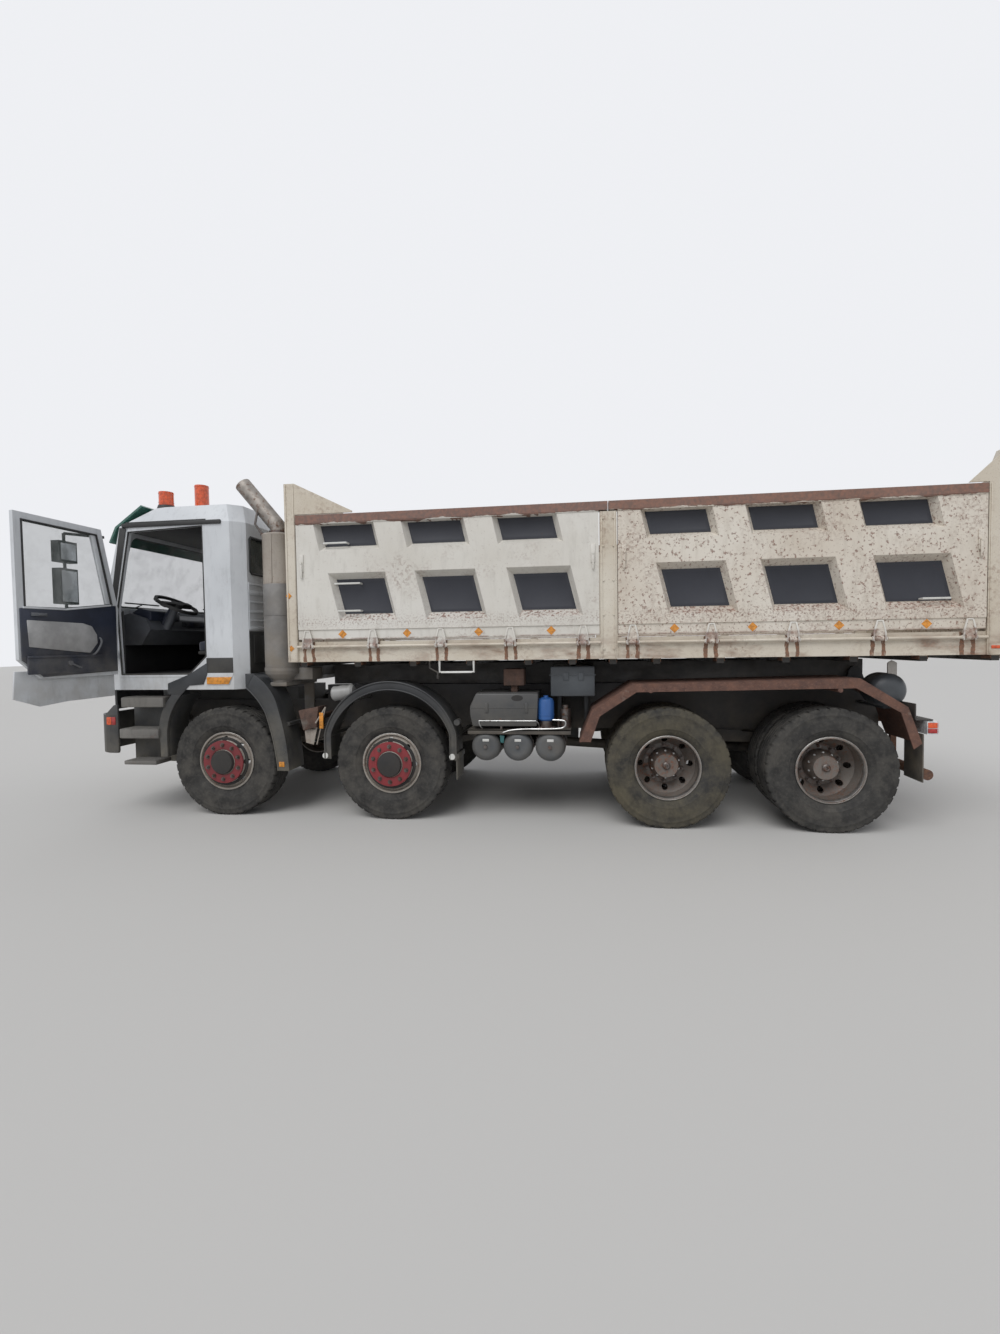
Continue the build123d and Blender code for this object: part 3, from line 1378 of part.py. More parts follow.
with BuildPart() as steering_wheel:
    wheel_plane = Plane(origin=(STEERING_X, SEAT_Y, STEERING_Z), x_dir=(0, 1, 0), z_dir=STEERING_AXIS)
    with BuildSketch(wheel_plane):
        Circle(STEERING_RADIUS)
        Circle(STEERING_RADIUS - STEERING_RIM, mode=Mode.SUBTRACT)
    extrude(amount=STEERING_RIM / 2, both=True)
    with BuildSketch(wheel_plane):
        Rectangle(2 * STEERING_RADIUS - STEERING_RIM, STEERING_SPOKE)
        Circle(STEERING_HUB_RADIUS)
    extrude(amount=STEERING_HUB / 2, both=True)
save(steering_wheel, "steering_wheel")


# Doors: modelled closed, and the driver's is then swung open

def door(side):
    with BuildPart() as panel:
        face = door_face(DOOR_OUTLINE, side, 0, CAB_HALF_WIDTH)
        extrude(face, amount=side * DOOR_THICKNESS)
        window = door_face(WINDOW_OUTLINE, side, 0, CAB_HALF_WIDTH)
        extrude(window, amount=side * DOOR_THICKNESS, mode=Mode.SUBTRACT)
        for z in DOOR_HINGE_HEIGHTS:
            height = (z - DOOR_SLEEVE_HEIGHT / 2, z + DOOR_SLEEVE_HEIGHT / 2)
            block((DOOR_HINGE_X - 70, DOOR_HINGE_X - 34), ((CAB_HALF_WIDTH - 4) * side, (DOOR_HINGE_Y + 8) * side), height)
            block((DOOR_HINGE_X - 40, DOOR_HINGE_X), ((DOOR_HINGE_Y - 8) * side, (DOOR_HINGE_Y + 8) * side), height)
            with BuildSketch(level_plane(height[0])):
                with Locations((DOOR_HINGE_X, DOOR_HINGE_Y * side)):
                    Circle(DOOR_SLEEVE_RADIUS)
            extrude(amount=DOOR_SLEEVE_HEIGHT)
            with BuildSketch(level_plane(height[0])):
                with Locations((DOOR_HINGE_X, DOOR_HINGE_Y * side)):
                    Circle(DOOR_PIN_RADIUS + FIT)
            extrude(amount=DOOR_SLEEVE_HEIGHT, mode=Mode.SUBTRACT)
    return panel.part


def door_glass(side):
    with BuildPart() as pane:
        window = door_face(WINDOW_OUTLINE, side, -SEAT_GAP, CAB_HALF_WIDTH - DOOR_THICKNESS / 2)
        extrude(window, amount=side * GLASS_THICKNESS)
    return pane.part


hinge_line = Axis((DOOR_HINGE_X, DOOR_HINGE_Y, 0), (0, 0, 1))
left_door = door(LEFT).rotate(hinge_line, -DOOR_OPEN_DEG)
left_glass = door_glass(LEFT).rotate(hinge_line, -DOOR_OPEN_DEG)
export_at(left_door, 0, "door_left")
export_at(left_glass, 0, "door_glass_left")
export_at(door(RIGHT), 0, "door_right")
export_at(door_glass(RIGHT), 0, "door_glass_right")


# Tipping bed

with BuildPart() as bed_body:
    floor_bottom = BED_FLOOR_TOP - BED_FLOOR_THICKNESS
    rail_inner = BED_RAIL_Y - BED_RAIL_WIDTH
    block((BED_REAR, BED_FRONT), (-rail_inner, rail_inner), (floor_bottom, BED_FLOOR_TOP))
    post_inner = BED_HALF_WIDTH - POST_DEPTH
    sheet_x = (BED_FRONT - HEADBOARD_DEPTH, BED_FRONT - HEADBOARD_DEPTH + HEADBOARD_SHEET)
    block(sheet_x, (-post_inner, post_inner), (BED_BOTTOM, HEADBOARD_TOP))
    for y in HEADBOARD_RIBS:
        block((BED_FRONT - HEADBOARD_DEPTH, BED_FRONT), (y - 35, y + 35), (BED_BOTTOM, HEADBOARD_TOP))
    block((BED_FRONT - HEADBOARD_DEPTH, BED_FRONT), (-post_inner, post_inner), (HEADBOARD_TOP - 70, HEADBOARD_TOP))
    for x in BED_CROSS_BEAMS:
        block((x - 30, x + 30), (-rail_inner, rail_inner), (BED_BEAM_TOP, floor_bottom))
    for side in SIDES:
        block((BED_REAR, BED_FRONT), (rail_inner * side, BED_RAIL_Y * side), (BED_BOTTOM, BED_RAIL_TOP))
        beam_y = ((BED_BEAM_Y - BED_BEAM_WIDTH / 2) * side, (BED_BEAM_Y + BED_BEAM_WIDTH / 2) * side)
        beam = (
            (BED_FRONT - 80, BED_BEAM_BOTTOM),
            (BED_FRONT - 80, BED_BEAM_TOP),
            (PIVOT_X - PIVOT_SWEEP, BED_BEAM_TOP),
            (PIVOT_X - PIVOT_SWEEP, PIVOT_Z),
            (PIVOT_X, PIVOT_Z),
            (PIVOT_X, BED_BEAM_BOTTOM),
        )
        eye_plate(PIVOT_X, PIVOT_Z, PIVOT_SWEEP, beam, *beam_y)
        cross_bar(PIVOT_X, PIVOT_Z, *beam_y, PIVOT_RADIUS + FIT, mode=Mode.SUBTRACT)
        posts = (BED_HALF_WIDTH * side, post_inner * side)
        for outline in (FRONT_POST, MID_POST, REAR_POST):
            slab(outline, *posts)
        for outline in (FRONT_GUSSET, REAR_GUSSET):
            slab(outline, BED_HALF_WIDTH * side, (BED_HALF_WIDTH - GUSSET_THICKNESS) * side)
        for front, rear, *top_rail in GATE_BAYS:
            with BuildSketch(cross_plane(rear - GATE_GAP)):
                with Locations((HINGE_Y * side, HINGE_Z)):
                    Circle(HINGE_BAR_RADIUS)
            extrude(amount=front - rear + 2 * GATE_GAP)
        for lugs in HINGE_LUGS:
            for first, second in zip(lugs, lugs[1:]):
                x = (first + second) / 2
                block((x - 12, x + 12), ((BED_RAIL_Y - 1) * side, HINGE_Y * side), (HINGE_Z - 12, HINGE_Z + 12))
        with BuildSketch(side_plane(post_inner if side == LEFT else -post_inner + TAILGATE_STUB)):
            with Locations((TAILGATE_X, TAILGATE_HINGE_Z)):
                Circle(TAILGATE_PIN_RADIUS)
        extrude(amount=TAILGATE_STUB)
        ear = (HOIST_EAR_Y * side, (HOIST_EAR_Y + HOIST_EAR_THICKNESS) * side)
        block((HOIST_X - HOIST_EAR_HALF, HOIST_X + HOIST_EAR_HALF), ear, (HOIST_BALL_Z - HOIST_EAR_DROP, floor_bottom))
save(bed_body, "bed_body")


def gate(bay, lug_places, upper, lower):
    """A drop-side gate on the left, with slanting pockets and hinge lugs round the bar."""
    front, rear, rail_front, rail_rear = bay
    inner = BED_HALF_WIDTH - GATE_THICKNESS
    outer = BED_HALF_WIDTH
    section = (
        (inner, GATE_BOTTOM),
        (inner, GATE_RAIL_BOTTOM),
        (outer, GATE_RAIL_BOTTOM),
        (outer, GATE_BAND_TOP),
        (outer - GATE_BAND_STEP, GATE_BAND_TOP - GATE_BAND_STEP),
        (outer - GATE_BAND_STEP, GATE_BOTTOM),
    )
    with BuildPart() as panel:
        beam_along(section, rear, front)
        top_rail = (
            (inner, GATE_RAIL_BOTTOM),
            (inner, GATE_RAIL_TOP),
            (outer + GATE_RAIL_PROUD, GATE_RAIL_TOP),
            (outer + GATE_RAIL_PROUD, GATE_RAIL_BOTTOM),
        )
        beam_along(top_rail, rail_rear, rail_front)
        for pockets, bottom, top, slant, head, foot in (
            (upper, UPPER_POCKET[0], UPPER_POCKET[1], UPPER_SLANT, UPPER_HEAD, UPPER_FOOT),
            (lower, LOWER_POCKET[0], LOWER_POCKET[1], LOWER_SLANT, LOWER_HEAD, LOWER_FOOT),
        ):
            for pocket_front, pocket_rear in pockets:
                deep = pocket_quad(pocket_front, pocket_rear, bottom, top, slant, outer - POCKET_DEPTH)
                lean = slant / (top - bottom)
                wide = pocket_quad(
                    pocket_front + POCKET_BEVEL + head * lean,
                    pocket_rear - POCKET_BEVEL + head * lean,
                    bottom - foot,
                    top + head,
                    slant + (head + foot) * lean,
                    outer,
                )
                loft([wide, deep], ruled=True, mode=Mode.SUBTRACT)
        for x in lug_places:
            plate = (
                (x - LUG_TOP_WIDTH / 2, LUG_TOP),
                (x + LUG_TOP_WIDTH / 2, LUG_TOP),
                (x + LUG_BASE_WIDTH / 2, HINGE_Z + LUG_RADIUS + 14),
                (x + LUG_WIDTH / 2, HINGE_Z + LUG_RADIUS),
                (x + LUG_WIDTH / 2, HINGE_Z),
                (x - LUG_WIDTH / 2, HINGE_Z),
                (x - LUG_WIDTH / 2, HINGE_Z + LUG_RADIUS),
                (x - LUG_BASE_WIDTH / 2, HINGE_Z + LUG_RADIUS + 14),
            )
            slab(plate, outer - GATE_BAND_STEP, outer + LUG_PROUD)
            for radius, mode in ((LUG_RADIUS, Mode.ADD), (HINGE_BAR_RADIUS + FIT, Mode.SUBTRACT)):
                with BuildSketch(cross_plane(x - LUG_WIDTH / 2)):
                    with Locations((HINGE_Y, HINGE_Z)):
                        Circle(radius)
                extrude(amount=LUG_WIDTH, mode=mode)
    return panel.part


def pocket_quad(front, rear, bottom, top, slant, y):
    """A pocket's leaning outline at one depth. Its bottom lies further back than its top."""
    with BuildSketch(side_plane(y)) as quad:
        with BuildLine():
            Polyline((front, top), (rear, top), (rear - slant, bottom), (front - slant, bottom), close=True)
        make_face()
    return quad.sketch


for gate_name, bay, lug_places, upper, lower in zip(
    ("front", "rear"), GATE_BAYS, HINGE_LUGS, UPPER_POCKETS, LOWER_POCKETS
):
    left_gate = gate(bay, lug_places, upper, lower)
    export_at(left_gate, 0, f"gate_{gate_name}_left")
    export_at(mirror(left_gate, about=Plane.XZ, mode=Mode.PRIVATE), 0, f"gate_{gate_name}_right")

with BuildPart() as tailgate:
    half_depth = TAILGATE_DEPTH / 2
    block(
        (TAILGATE_X - half_depth, TAILGATE_X + half_depth),
        (-TAILGATE_HALF_WIDTH, TAILGATE_HALF_WIDTH),
        (TAILGATE_BOTTOM, TAILGATE_TOP),
    )
    with BuildSketch(cross_plane(TAILGATE_X - half_depth)):
        with GridLocations(TAILGATE_BAY, 0, TAILGATE_BAYS, 1):
            with Locations((0, (TAILGATE_BOTTOM + TAILGATE_TOP) / 2)):
                Rectangle(TAILGATE_BAY - TAILGATE_RIB, TAILGATE_TOP - TAILGATE_BOTTOM - 2 * TAILGATE_RIB)
    extrude(amount=TAILGATE_RECESS, mode=Mode.SUBTRACT)
    for side in SIDES:
        arm = ((post_inner - 8) * side, (post_inner - 8 - TAILGATE_ARM) * side)
        foot = (
            (TAILGATE_X - TAILGATE_EYE, TAILGATE_TOP - 40),
            (TAILGATE_X - TAILGATE_EYE, TAILGATE_HINGE_Z),
            (TAILGATE_X + TAILGATE_EYE, TAILGATE_HINGE_Z),
            (TAILGATE_X + TAILGATE_EYE, TAILGATE_TOP - 40),
        )
        eye_plate(TAILGATE_X, TAILGATE_HINGE_Z, TAILGATE_EYE, foot, *arm)
        cross_bar(TAILGATE_X, TAILGATE_HINGE_Z, *arm, TAILGATE_PIN_RADIUS + FIT, mode=Mode.SUBTRACT)
save(tailgate, "tailgate")


# Hoist: a barrel on trunnions with telescoping tubes, and a ball under the bed

def tube(outer_radius, inner_radius, bottom, top):
    """An upright tube on the hoist's line."""
    with BuildSketch(level_plane(bottom)) as ring:
        with Locations((HOIST_X, 0)):
            Circle(outer_radius)
            if inner_radius:
                Circle(inner_radius, mode=Mode.SUBTRACT)
    extrude(ring.sketch, amount=top - bottom)


with BuildPart() as hoist_barrel:
    tube(HOIST_RADIUS, HOIST_RADIUS - HOIST_WALL, HOIST_BOTTOM, HOIST_TOP)
    tube(HOIST_RADIUS, 0, HOIST_BOTTOM - HOIST_WALL, HOIST_BOTTOM)
    for side in SIDES:
        cross_bar(
            HOIST_X,
            HOIST_PIVOT_Z,
            (HOIST_RADIUS - HOIST_WALL / 2) * side,
            (HOIST_RADIUS + CLEARANCE + HOIST_BEARING) * side,
            HOIST_TRUNNION_RADIUS,
        )
save(hoist_barrel, "hoist_barrel")

for stage in range(1, HOIST_STAGES + 1):
    outer_radius = HOIST_RADIUS - stage * (HOIST_WALL + SEAT_GAP)
    last = stage == HOIST_STAGES
    top = HOIST_TOP + stage * HOIST_COLLAR
    with BuildPart() as hoist_stage:
        tube(outer_radius, 0 if last else outer_radius - HOIST_WALL, HOIST_BOTTOM + SEAT_GAP, top)
        if last:
            tube(HOIST_ROD_RADIUS, 0, top, HOIST_BALL_Z)
            with Locations((HOIST_X, 0, HOIST_BALL_Z)):
                Sphere(HOIST_BALL_RADIUS)
    save(hoist_stage, f"hoist_stage_{stage}")
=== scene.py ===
"""Looks of a four-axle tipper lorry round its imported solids. Metres, X forward, Y left, Z up."""

import math

import bpy
from mathutils import Matrix, Vector


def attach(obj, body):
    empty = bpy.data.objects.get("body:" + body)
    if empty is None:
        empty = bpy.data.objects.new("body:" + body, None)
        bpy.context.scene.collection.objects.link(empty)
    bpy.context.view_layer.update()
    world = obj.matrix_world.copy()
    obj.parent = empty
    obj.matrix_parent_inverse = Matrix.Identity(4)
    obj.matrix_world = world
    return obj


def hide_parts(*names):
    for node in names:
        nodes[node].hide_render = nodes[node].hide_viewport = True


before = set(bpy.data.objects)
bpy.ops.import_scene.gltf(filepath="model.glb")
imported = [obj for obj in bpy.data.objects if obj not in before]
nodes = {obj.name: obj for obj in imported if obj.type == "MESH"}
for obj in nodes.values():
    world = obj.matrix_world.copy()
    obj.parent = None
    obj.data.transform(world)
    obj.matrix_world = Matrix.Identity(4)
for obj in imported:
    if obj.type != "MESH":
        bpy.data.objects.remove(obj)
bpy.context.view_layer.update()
SIDES = (("left", 1), ("right", -1))
AHEAD, ACROSS, UP = (1, 0, 0), (0, 1, 0), (0, 0, 1)

# Places that several pieces share

RAIL_FOOT = 2.81
HINGE_LUGS = {
    "front": (-0.945, -1.586, -2.23, -2.87, -3.519),
    "rear": (-3.948, -4.608, -5.269, -5.942, -6.616),
}
FRAME_Y = 0.432
CAB_SIDE_Y = 1.2
SIDE_Y = 1.25
FLOOR_Z = 1.402


# Shader steps

def feed(socket, value):
    """Links a socket to another one, or gives it a value."""
    if isinstance(value, bpy.types.NodeSocket):
        socket.id_data.links.new(value, socket)
    elif socket.type == "RGBA":
        socket.default_value = (*value, 1)
    else:
        socket.default_value = value


def add_node(tree, kind, inputs, **settings):
    """Adds a shader node whose inputs take values or other nodes' sockets."""
    node = tree.nodes.new("ShaderNode" + kind)
    for name, value in settings.items():
        setattr(node, name, value)
    for key, value in inputs.items():
        feed(node.inputs[key], value)
    return node


def new_material(name, roughness, metallic=0.0, specular=0.5):
    """A material and its node tree."""
    material = bpy.data.materials.new(name)
    material.use_nodes = True
    shader = material.node_tree.nodes["Principled BSDF"]
    shader.inputs["Roughness"].default_value = roughness
    shader.inputs["Metallic"].default_value = metallic
    shader.inputs["Specular IOR Level"].default_value = specular
    return material, material.node_tree


def object_place(tree, stretch=(1, 1, 1)):
    """Object coordinates, stretched for streaks."""
    place = add_node(tree, "TexCoord", {})
    mapping = add_node(tree, "Mapping", {"Vector": place.outputs["Object"], "Scale": stretch})
    return mapping.outputs["Vector"]


def ramp(value, low, high, end="From"):
    """Maps low and high to nought and one, or, with To as the end, nought and one to low and high."""
    limits = {"Value": value, f"{end} Min": low, f"{end} Max": high}
    return add_node(value.id_data, "MapRange", limits).outputs["Result"]


def speckle(tree, scale, low, high, stretch=(1, 1, 1)):
    """A noise mask, nought below low and one above high."""
    place = object_place(tree, stretch)
    noise = add_node(tree, "TexNoise", {"Scale": scale, "Detail": 8, "Roughness": 0.6, "Vector": place})
    return ramp(noise.outputs["Fac"], low, high)


def part_of(vector, axis):
    """One coordinate of a vector."""
    return add_node(vector.id_data, "SeparateXYZ", {0: vector}).outputs[axis]


def between(tree, axis, start, end):
    """A mask by place: nought at start and one at end along X, Y or Z."""
    return ramp(part_of(object_place(tree), axis), start, end)


def ledges(tree):
    """A mask by the surface's own tilt: one where it faces upwards."""
    return ramp(part_of(add_node(tree, "TexCoord", {}).outputs["Normal"], "Z"), 0.15, 0.5)


def combine(operation, first, *others):
    """Folds masks and numbers into the first mask, kept between nought and one."""
    for other in others:
        node = add_node(
            first.id_data, "Math", {0: first, 1: other}, operation=operation, use_clamp=True
        )
        first = node.outputs[0]
    return first


def times(*masks):
    return combine("MULTIPLY", *masks)


def most(*masks):
    return combine("MAXIMUM", *masks)


def plus(*masks):
    return combine("ADD", *masks)


def close_to(value, place, reach):
    """One where a value is within reach of a place, and nought elsewhere."""
    inputs = {0: value, 1: place, 2: reach}
    return add_node(value.id_data, "Math", inputs, operation="COMPARE").outputs[0]


def stripes(tree, places, reach):
    """A mask of wavering upright stripes at places along X."""
    wobble = times(speckle(tree, 14, 0.2, 0.8), reach * 1.6)
    inputs = {0: part_of(object_place(tree), "X"), 1: wobble}
    shifted = add_node(tree, "Math", inputs, operation="ADD").outputs[0]
    return most(*(close_to(shifted, x + reach * 0.8, reach) for x in places))


def layer(under, over, mask):
    """One colour over another by a mask."""
    inputs = {"Factor": mask, "A": under, "B": over}
    return add_node(mask.id_data, "Mix", inputs, data_type="RGBA").outputs["Result"]


def scaled(colour, share):
    """A colour made darker or lighter."""
    return tuple(min(1, part * share) for part in colour)


def surface(material, colour, bump, strength, distance, worn=None, rough=(0, 1)):
    """Wires a colour, a bump and a roughness mask into the shader."""
    tree = material.node_tree
    shader = tree.nodes["Principled BSDF"]
    feed(shader.inputs["Base Color"], colour)
    if worn:
        feed(shader.inputs["Roughness"], ramp(worn, *rough, end="To"))
    relief = add_node(tree, "Bump", {"Strength": strength, "Distance": distance, "Height": bump})
    feed(shader.inputs["Normal"], relief.outputs["Normal"])
    return material


# Materials

def old_paint(name, colour, shade, rust, rough=(0.35, 0.75), dirt=None):
    """Old paint: slow tone changes, rust specks, patches and runs, and dust up to a height."""
    material, tree = new_material(name, 0.5)
    base = layer(colour, shade, speckle(tree, 1.3, 0.35, 0.7))
    scuff = speckle(tree, 22, 0.52, 0.78, (1, 1, 0.25))
    base = layer(base, scaled(shade, 0.72), times(scuff, 0.55))
    patch = speckle(tree, 2.6, 0.6 - 0.2 * rust, 0.8 - 0.14 * rust)
    fine = speckle(tree, 34, 0.56 - 0.1 * rust, 0.64)
    runs = speckle(tree, 9, 0.6 - 0.08 * rust, 0.74, (3.4, 3.4, 0.22))
    pits = speckle(tree, 95, 0.66 - 0.09 * rust, 0.7)
    eaten = most(times(patch, fine), times(runs, patch), times(pits, min(1.0, rust * 1.3)))
    brown = layer((0.235, 0.085, 0.035), (0.1, 0.045, 0.025), speckle(tree, 48, 0.35, 0.65))
    base = layer(base, brown, times(eaten, min(1.0, 0.25 + rust)))
    if dirt:
        top, low, dust, amount = dirt
        cover = times(between(tree, "Z", top, low), speckle(tree, 7, 0.3, 0.62), amount)
        base = layer(base, dust, cover)
    return surface(material, base, plus(eaten, times(scuff, 0.2)), 0.25, 0.0015, eaten, rough)


def rail_rust(name, colour, shade, rust, pitting):
    """Gate paint that gives way to red-brown rust on the top rail, on ledges and along the foot."""
    material, tree = new_material(name, 0.5)
    base = layer(colour, shade, speckle(tree, 1.1, 0.35, 0.68))
    scuff = speckle(tree, 18, 0.5, 0.74, (1, 1, 0.3))
    base = layer(base, scaled(shade, 0.8), times(scuff, 0.5))
    patch = speckle(tree, 2.3, 0.62 - 0.22 * rust, 0.78 - 0.1 * rust)
    fine = speckle(tree, 42, 0.5, 0.6)
    runs = speckle(tree, 8, 0.6 - 0.07 * rust, 0.74, (3.6, 3.6, 0.2))
    pits = speckle(tree, 46, 0.66 - 0.12 * pitting, 0.69 - 0.08 * pitting)
    wave = times(speckle(tree, 5, 0.2, 0.8, (1, 1, 0.2)), 0.7)
    top = plus(between(tree, "Z", RAIL_FOOT - 0.05, RAIL_FOOT + 0.02), wave)
    ledge = times(ledges(tree), plus(fine, 0.35 * rust), between(tree, "Z", 2.45, 2.05))
    strip = times(
        between(tree, "Z", 1.98, 1.87), between(tree, "Z", 1.81, 1.87), speckle(tree, 60, 0.5, 0.6)
    )
    foot = times(between(tree, "Z", 1.74, 1.724), speckle(tree, 16, 0.38, 0.58))
    eaten = most(
        times(patch, fine, 0.6),
        times(runs, patch, 0.6),
        times(pits, pitting),
        times(speckle(tree, 120, 0.66, 0.7), 0.5),
        times(combine("GREATER_THAN", top, 0.98), 0.95),
        times(ledge, 0.9),
        times(strip, 0.35 + 0.4 * rust),
        times(foot, 0.8),
    )
    brown = layer((0.215, 0.08, 0.048), (0.105, 0.045, 0.033), speckle(tree, 40, 0.35, 0.65))
    base = layer(base, brown, times(eaten, 0.92))
    return surface(material, base, plus(eaten, times(scuff, 0.25)), 0.3, 0.002, eaten, (0.42, 0.85))


def rusty_steel(name, colour, deep, paint=None, paint_share=0.2):
    """Bare rusted plate with remnants of paint."""
    material, tree = new_material(name, 0.8)
    base = layer(colour, deep, speckle(tree, 14, 0.35, 0.65))
    base = layer(base, scaled(colour, 1.7), times(speckle(tree, 60, 0.52, 0.7), 0.5))
    if paint:
        base = layer(base, paint, speckle(tree, 5, 0.72 - 0.25 * paint_share, 0.74))
    worn = speckle(tree, 20, 0.3, 0.7)
    return surface(material, base, speckle(tree, 70, 0.3, 0.7), 0.4, 0.002, worn, (0.62, 0.92))


def road_grime(name, colour, dust, top, low, roughness=0.7, metallic=0.0):
    """Dark plastic, rubber or painted steel under road dust, which thickens towards the ground."""
    material, tree = new_material(name, roughness, metallic)
    base = layer(colour, scaled(colour, 1.8), speckle(tree, 3, 0.4, 0.7))
    lower = between(tree, "Z", top, low)
    cover = times(lower, speckle(tree, 5, 0.28, 0.66), 0.8)
    specks = times(speckle(tree, 110, 0.58, 0.64), 0.6, lower)
    base = layer(base, dust, most(cover, specks))
    grain = speckle(tree, 160, 0.3, 0.7)
    return surface(material, base, grain, 0.15, 0.001, cover, (roughness * 0.75, 0.95))


def tyre_rubber(name, dust, amount):
    """Worn rubber with dried mud and dusty specks."""
    material, tree = new_material(name, 0.85, specular=0.25)
    base = layer((0.03, 0.029, 0.028), (0.062, 0.06, 0.056), speckle(tree, 9, 0.35, 0.7))
    mud = speckle(tree, 4.5, 0.5 - 0.18 * amount, 0.72)
    base = layer(base, dust, times(mud, 0.35 + 0.5 * amount))
    base = layer(base, scaled(dust, 1.5), times(speckle(tree, 42, 0.5, 0.68), 0.16))
    return surface(material, base, speckle(tree, 130, 0.3, 0.7), 0.2, 0.001, mud, (0.72, 0.95))


def metal(name, colour, roughness, rust=0.0, metallic=1.0):
    """Bare metal with slow tone changes and rust spots."""
    material, tree = new_material(name, roughness, metallic)
    base = layer(colour, scaled(colour, 0.6), speckle(tree, 12, 0.4, 0.7))
    spots = speckle(tree, 26, 0.66 - 0.3 * rust, 0.72)
    base = layer(base, (0.16, 0.07, 0.035), times(spots, 0.9 if rust else 0.1))
    grain = speckle(tree, 140, 0.35, 0.65)
    return surface(material, base, grain, 0.1, 0.0008, spots, (roughness, min(1.0, roughness + 0.4)))


def lamp_plastic(name, colour):
    """Tinted lamp plastic with moulded prisms."""
    material, tree = new_material(name, 0.15, specular=0.6)
    tree.nodes["Principled BSDF"].inputs["Coat Weight"].default_value = 0.4
    base = layer(colour, scaled(colour, 0.6), speckle(tree, 40, 0.4, 0.6))
    wave = add_node(tree, "TexWave", {"Scale": 60, "Vector": object_place(tree)}, bands_direction="Z")
    return surface(material, base, wave.outputs["Fac"], 0.25, 0.001)


def window_glass(name, tint, share):
    """Thin glass with a tint and light dust."""
    material, tree = new_material(name, 0.05, specular=0.6)
    shader = tree.nodes["Principled BSDF"]
    dust = speckle(tree, 6, 0.45, 0.8)
    feed(shader.inputs["Base Color"], layer(tint, (0.55, 0.56, 0.55), dust))
    feed(shader.inputs["Alpha"], ramp(dust, share, min(1.0, share + 0.12), "To"))
    return material


def seat_cloth(name, colour):
    """Woven cloth."""
    material, tree = new_material(name, 0.95, specular=0.2)
    tree.nodes["Principled BSDF"].inputs["Sheen Weight"].default_value = 0.3
    cells = add_node(tree, "TexVoronoi", {"Scale": 260, "Vector": object_place(tree)})
    weave = cells.outputs["Distance"]
    base = layer(colour, scaled(colour, 0.5), weave)
    base = layer(base, scaled(colour, 1.8), times(speckle(tree, 5, 0.5, 0.8), 0.4))
    return surface(material, base, weave, 0.3, 0.001)


def bed_paint(name, colour, shade):
    """Cream paint with rust runs under every hinge, a load space scoured to brown steel, and painted
    shade that turns the sub-frame under the bed near-black.
    """
    material, tree = new_material(name, 0.5)
    fine = speckle(tree, 34, 0.47, 0.64)
    legs = [x + way * 0.042 for gate in HINGE_LUGS.values() for x in gate for way in (-1, 1)]
    runs = times(
        stripes(tree, legs, 0.016),
        between(tree, "Z", 1.712, 1.692),
        speckle(tree, 26, 0.25, 0.45, (1, 1, 0.3)),
        between(tree, "Z", 1.508, 1.512),
    )
    clouds = times(speckle(tree, 6, 0.48, 0.7, (0.6, 1, 1.6)), between(tree, "Z", 1.72, 1.62))
    eaten = most(
        times(speckle(tree, 2.6, 0.46, 0.7), fine, 0.8),
        times(speckle(tree, 90, 0.6, 0.68), 0.45),
        times(clouds, 0.75),
        runs,
    )
    base = layer(colour, shade, speckle(tree, 1.4, 0.35, 0.7))
    brown = layer((0.235, 0.09, 0.04), (0.1, 0.045, 0.025), speckle(tree, 48, 0.35, 0.65))
    base = layer(base, brown, times(eaten, 0.9))
    inside = times(
        close_to(part_of(object_place(tree), "Y"), 0, 1.153),
        between(tree, "Z", 1.615, 1.635),
        between(tree, "X", -0.815, -0.825),
    )
    scoured = layer((0.26, 0.2, 0.15), (0.13, 0.085, 0.06), speckle(tree, 5, 0.35, 0.68, (0.4, 1, 1)))
    base = layer(base, scoured, inside)
    # Painted shade: below 1.5 m the paint turns near-black, standing in for the shadow under the bed.
    painted_shade_under_bed = layer((0.03, 0.028, 0.026), (0.06, 0.052, 0.044), speckle(tree, 7, 0.4, 0.7))
    base = layer(base, painted_shade_under_bed, between(tree, "Z", 1.506, 1.5))
    return surface(material, base, plus(eaten, fine), 0.25, 0.0015, eaten, (0.42, 0.85))


# Camera, floor and light

def photo_camera():
    """A wide lens at chest height, six and a half metres from the lorry's left side."""
    yaw, pitch, roll = 0.143, 0.039, 0.015
    ahead = Vector((
        math.sin(yaw) * math.cos(pitch), -math.cos(yaw) * math.cos(pitch), -math.sin(pitch)
    ))
    across = ahead.cross(Vector(UP)).normalized()
    down = ahead.cross(across)
    right = across * math.cos(roll) + down * math.sin(roll)
    below = down * math.cos(roll) - across * math.sin(roll)
    data = bpy.data.cameras.new("photo_camera")
    data.sensor_width = 36
    data.lens = 600 / 1334 * data.sensor_width
    data.clip_end = 300
    camera = bpy.data.objects.new("photo_camera", data)
    turn = Matrix((right, -below, -ahead)).transposed().to_4x4()
    camera.matrix_world = Matrix.Translation((-3.544, 6.612, 1.658)) @ turn
    bpy.context.scene.collection.objects.link(camera)
    bpy.context.scene.camera = camera


def pale_floor():
    """A pale, faintly clouded floor."""
    bare()
    bpy.ops.mesh.primitive_plane_add(size=120, location=(-3, 0, 0))
    floor = bpy.context.active_object
    floor.name = "floor"
    material, tree = new_material("floor_pale", 0.9, specular=0.1)
    noise = add_node(tree, "TexNoise", {"Scale": 1.2, "Detail": 8})
    tones = add_node(tree, "ValToRGB", {"Fac": noise.outputs["Fac"]})
    tones.color_ramp.elements[0].color = (0.5, 0.49, 0.47, 1)
    tones.color_ramp.elements[1].color = (0.62, 0.61, 0.59, 1)
    feed(tree.nodes["Principled BSDF"].inputs["Base Color"], tones.outputs["Color"])
    floor.data.materials.append(material)


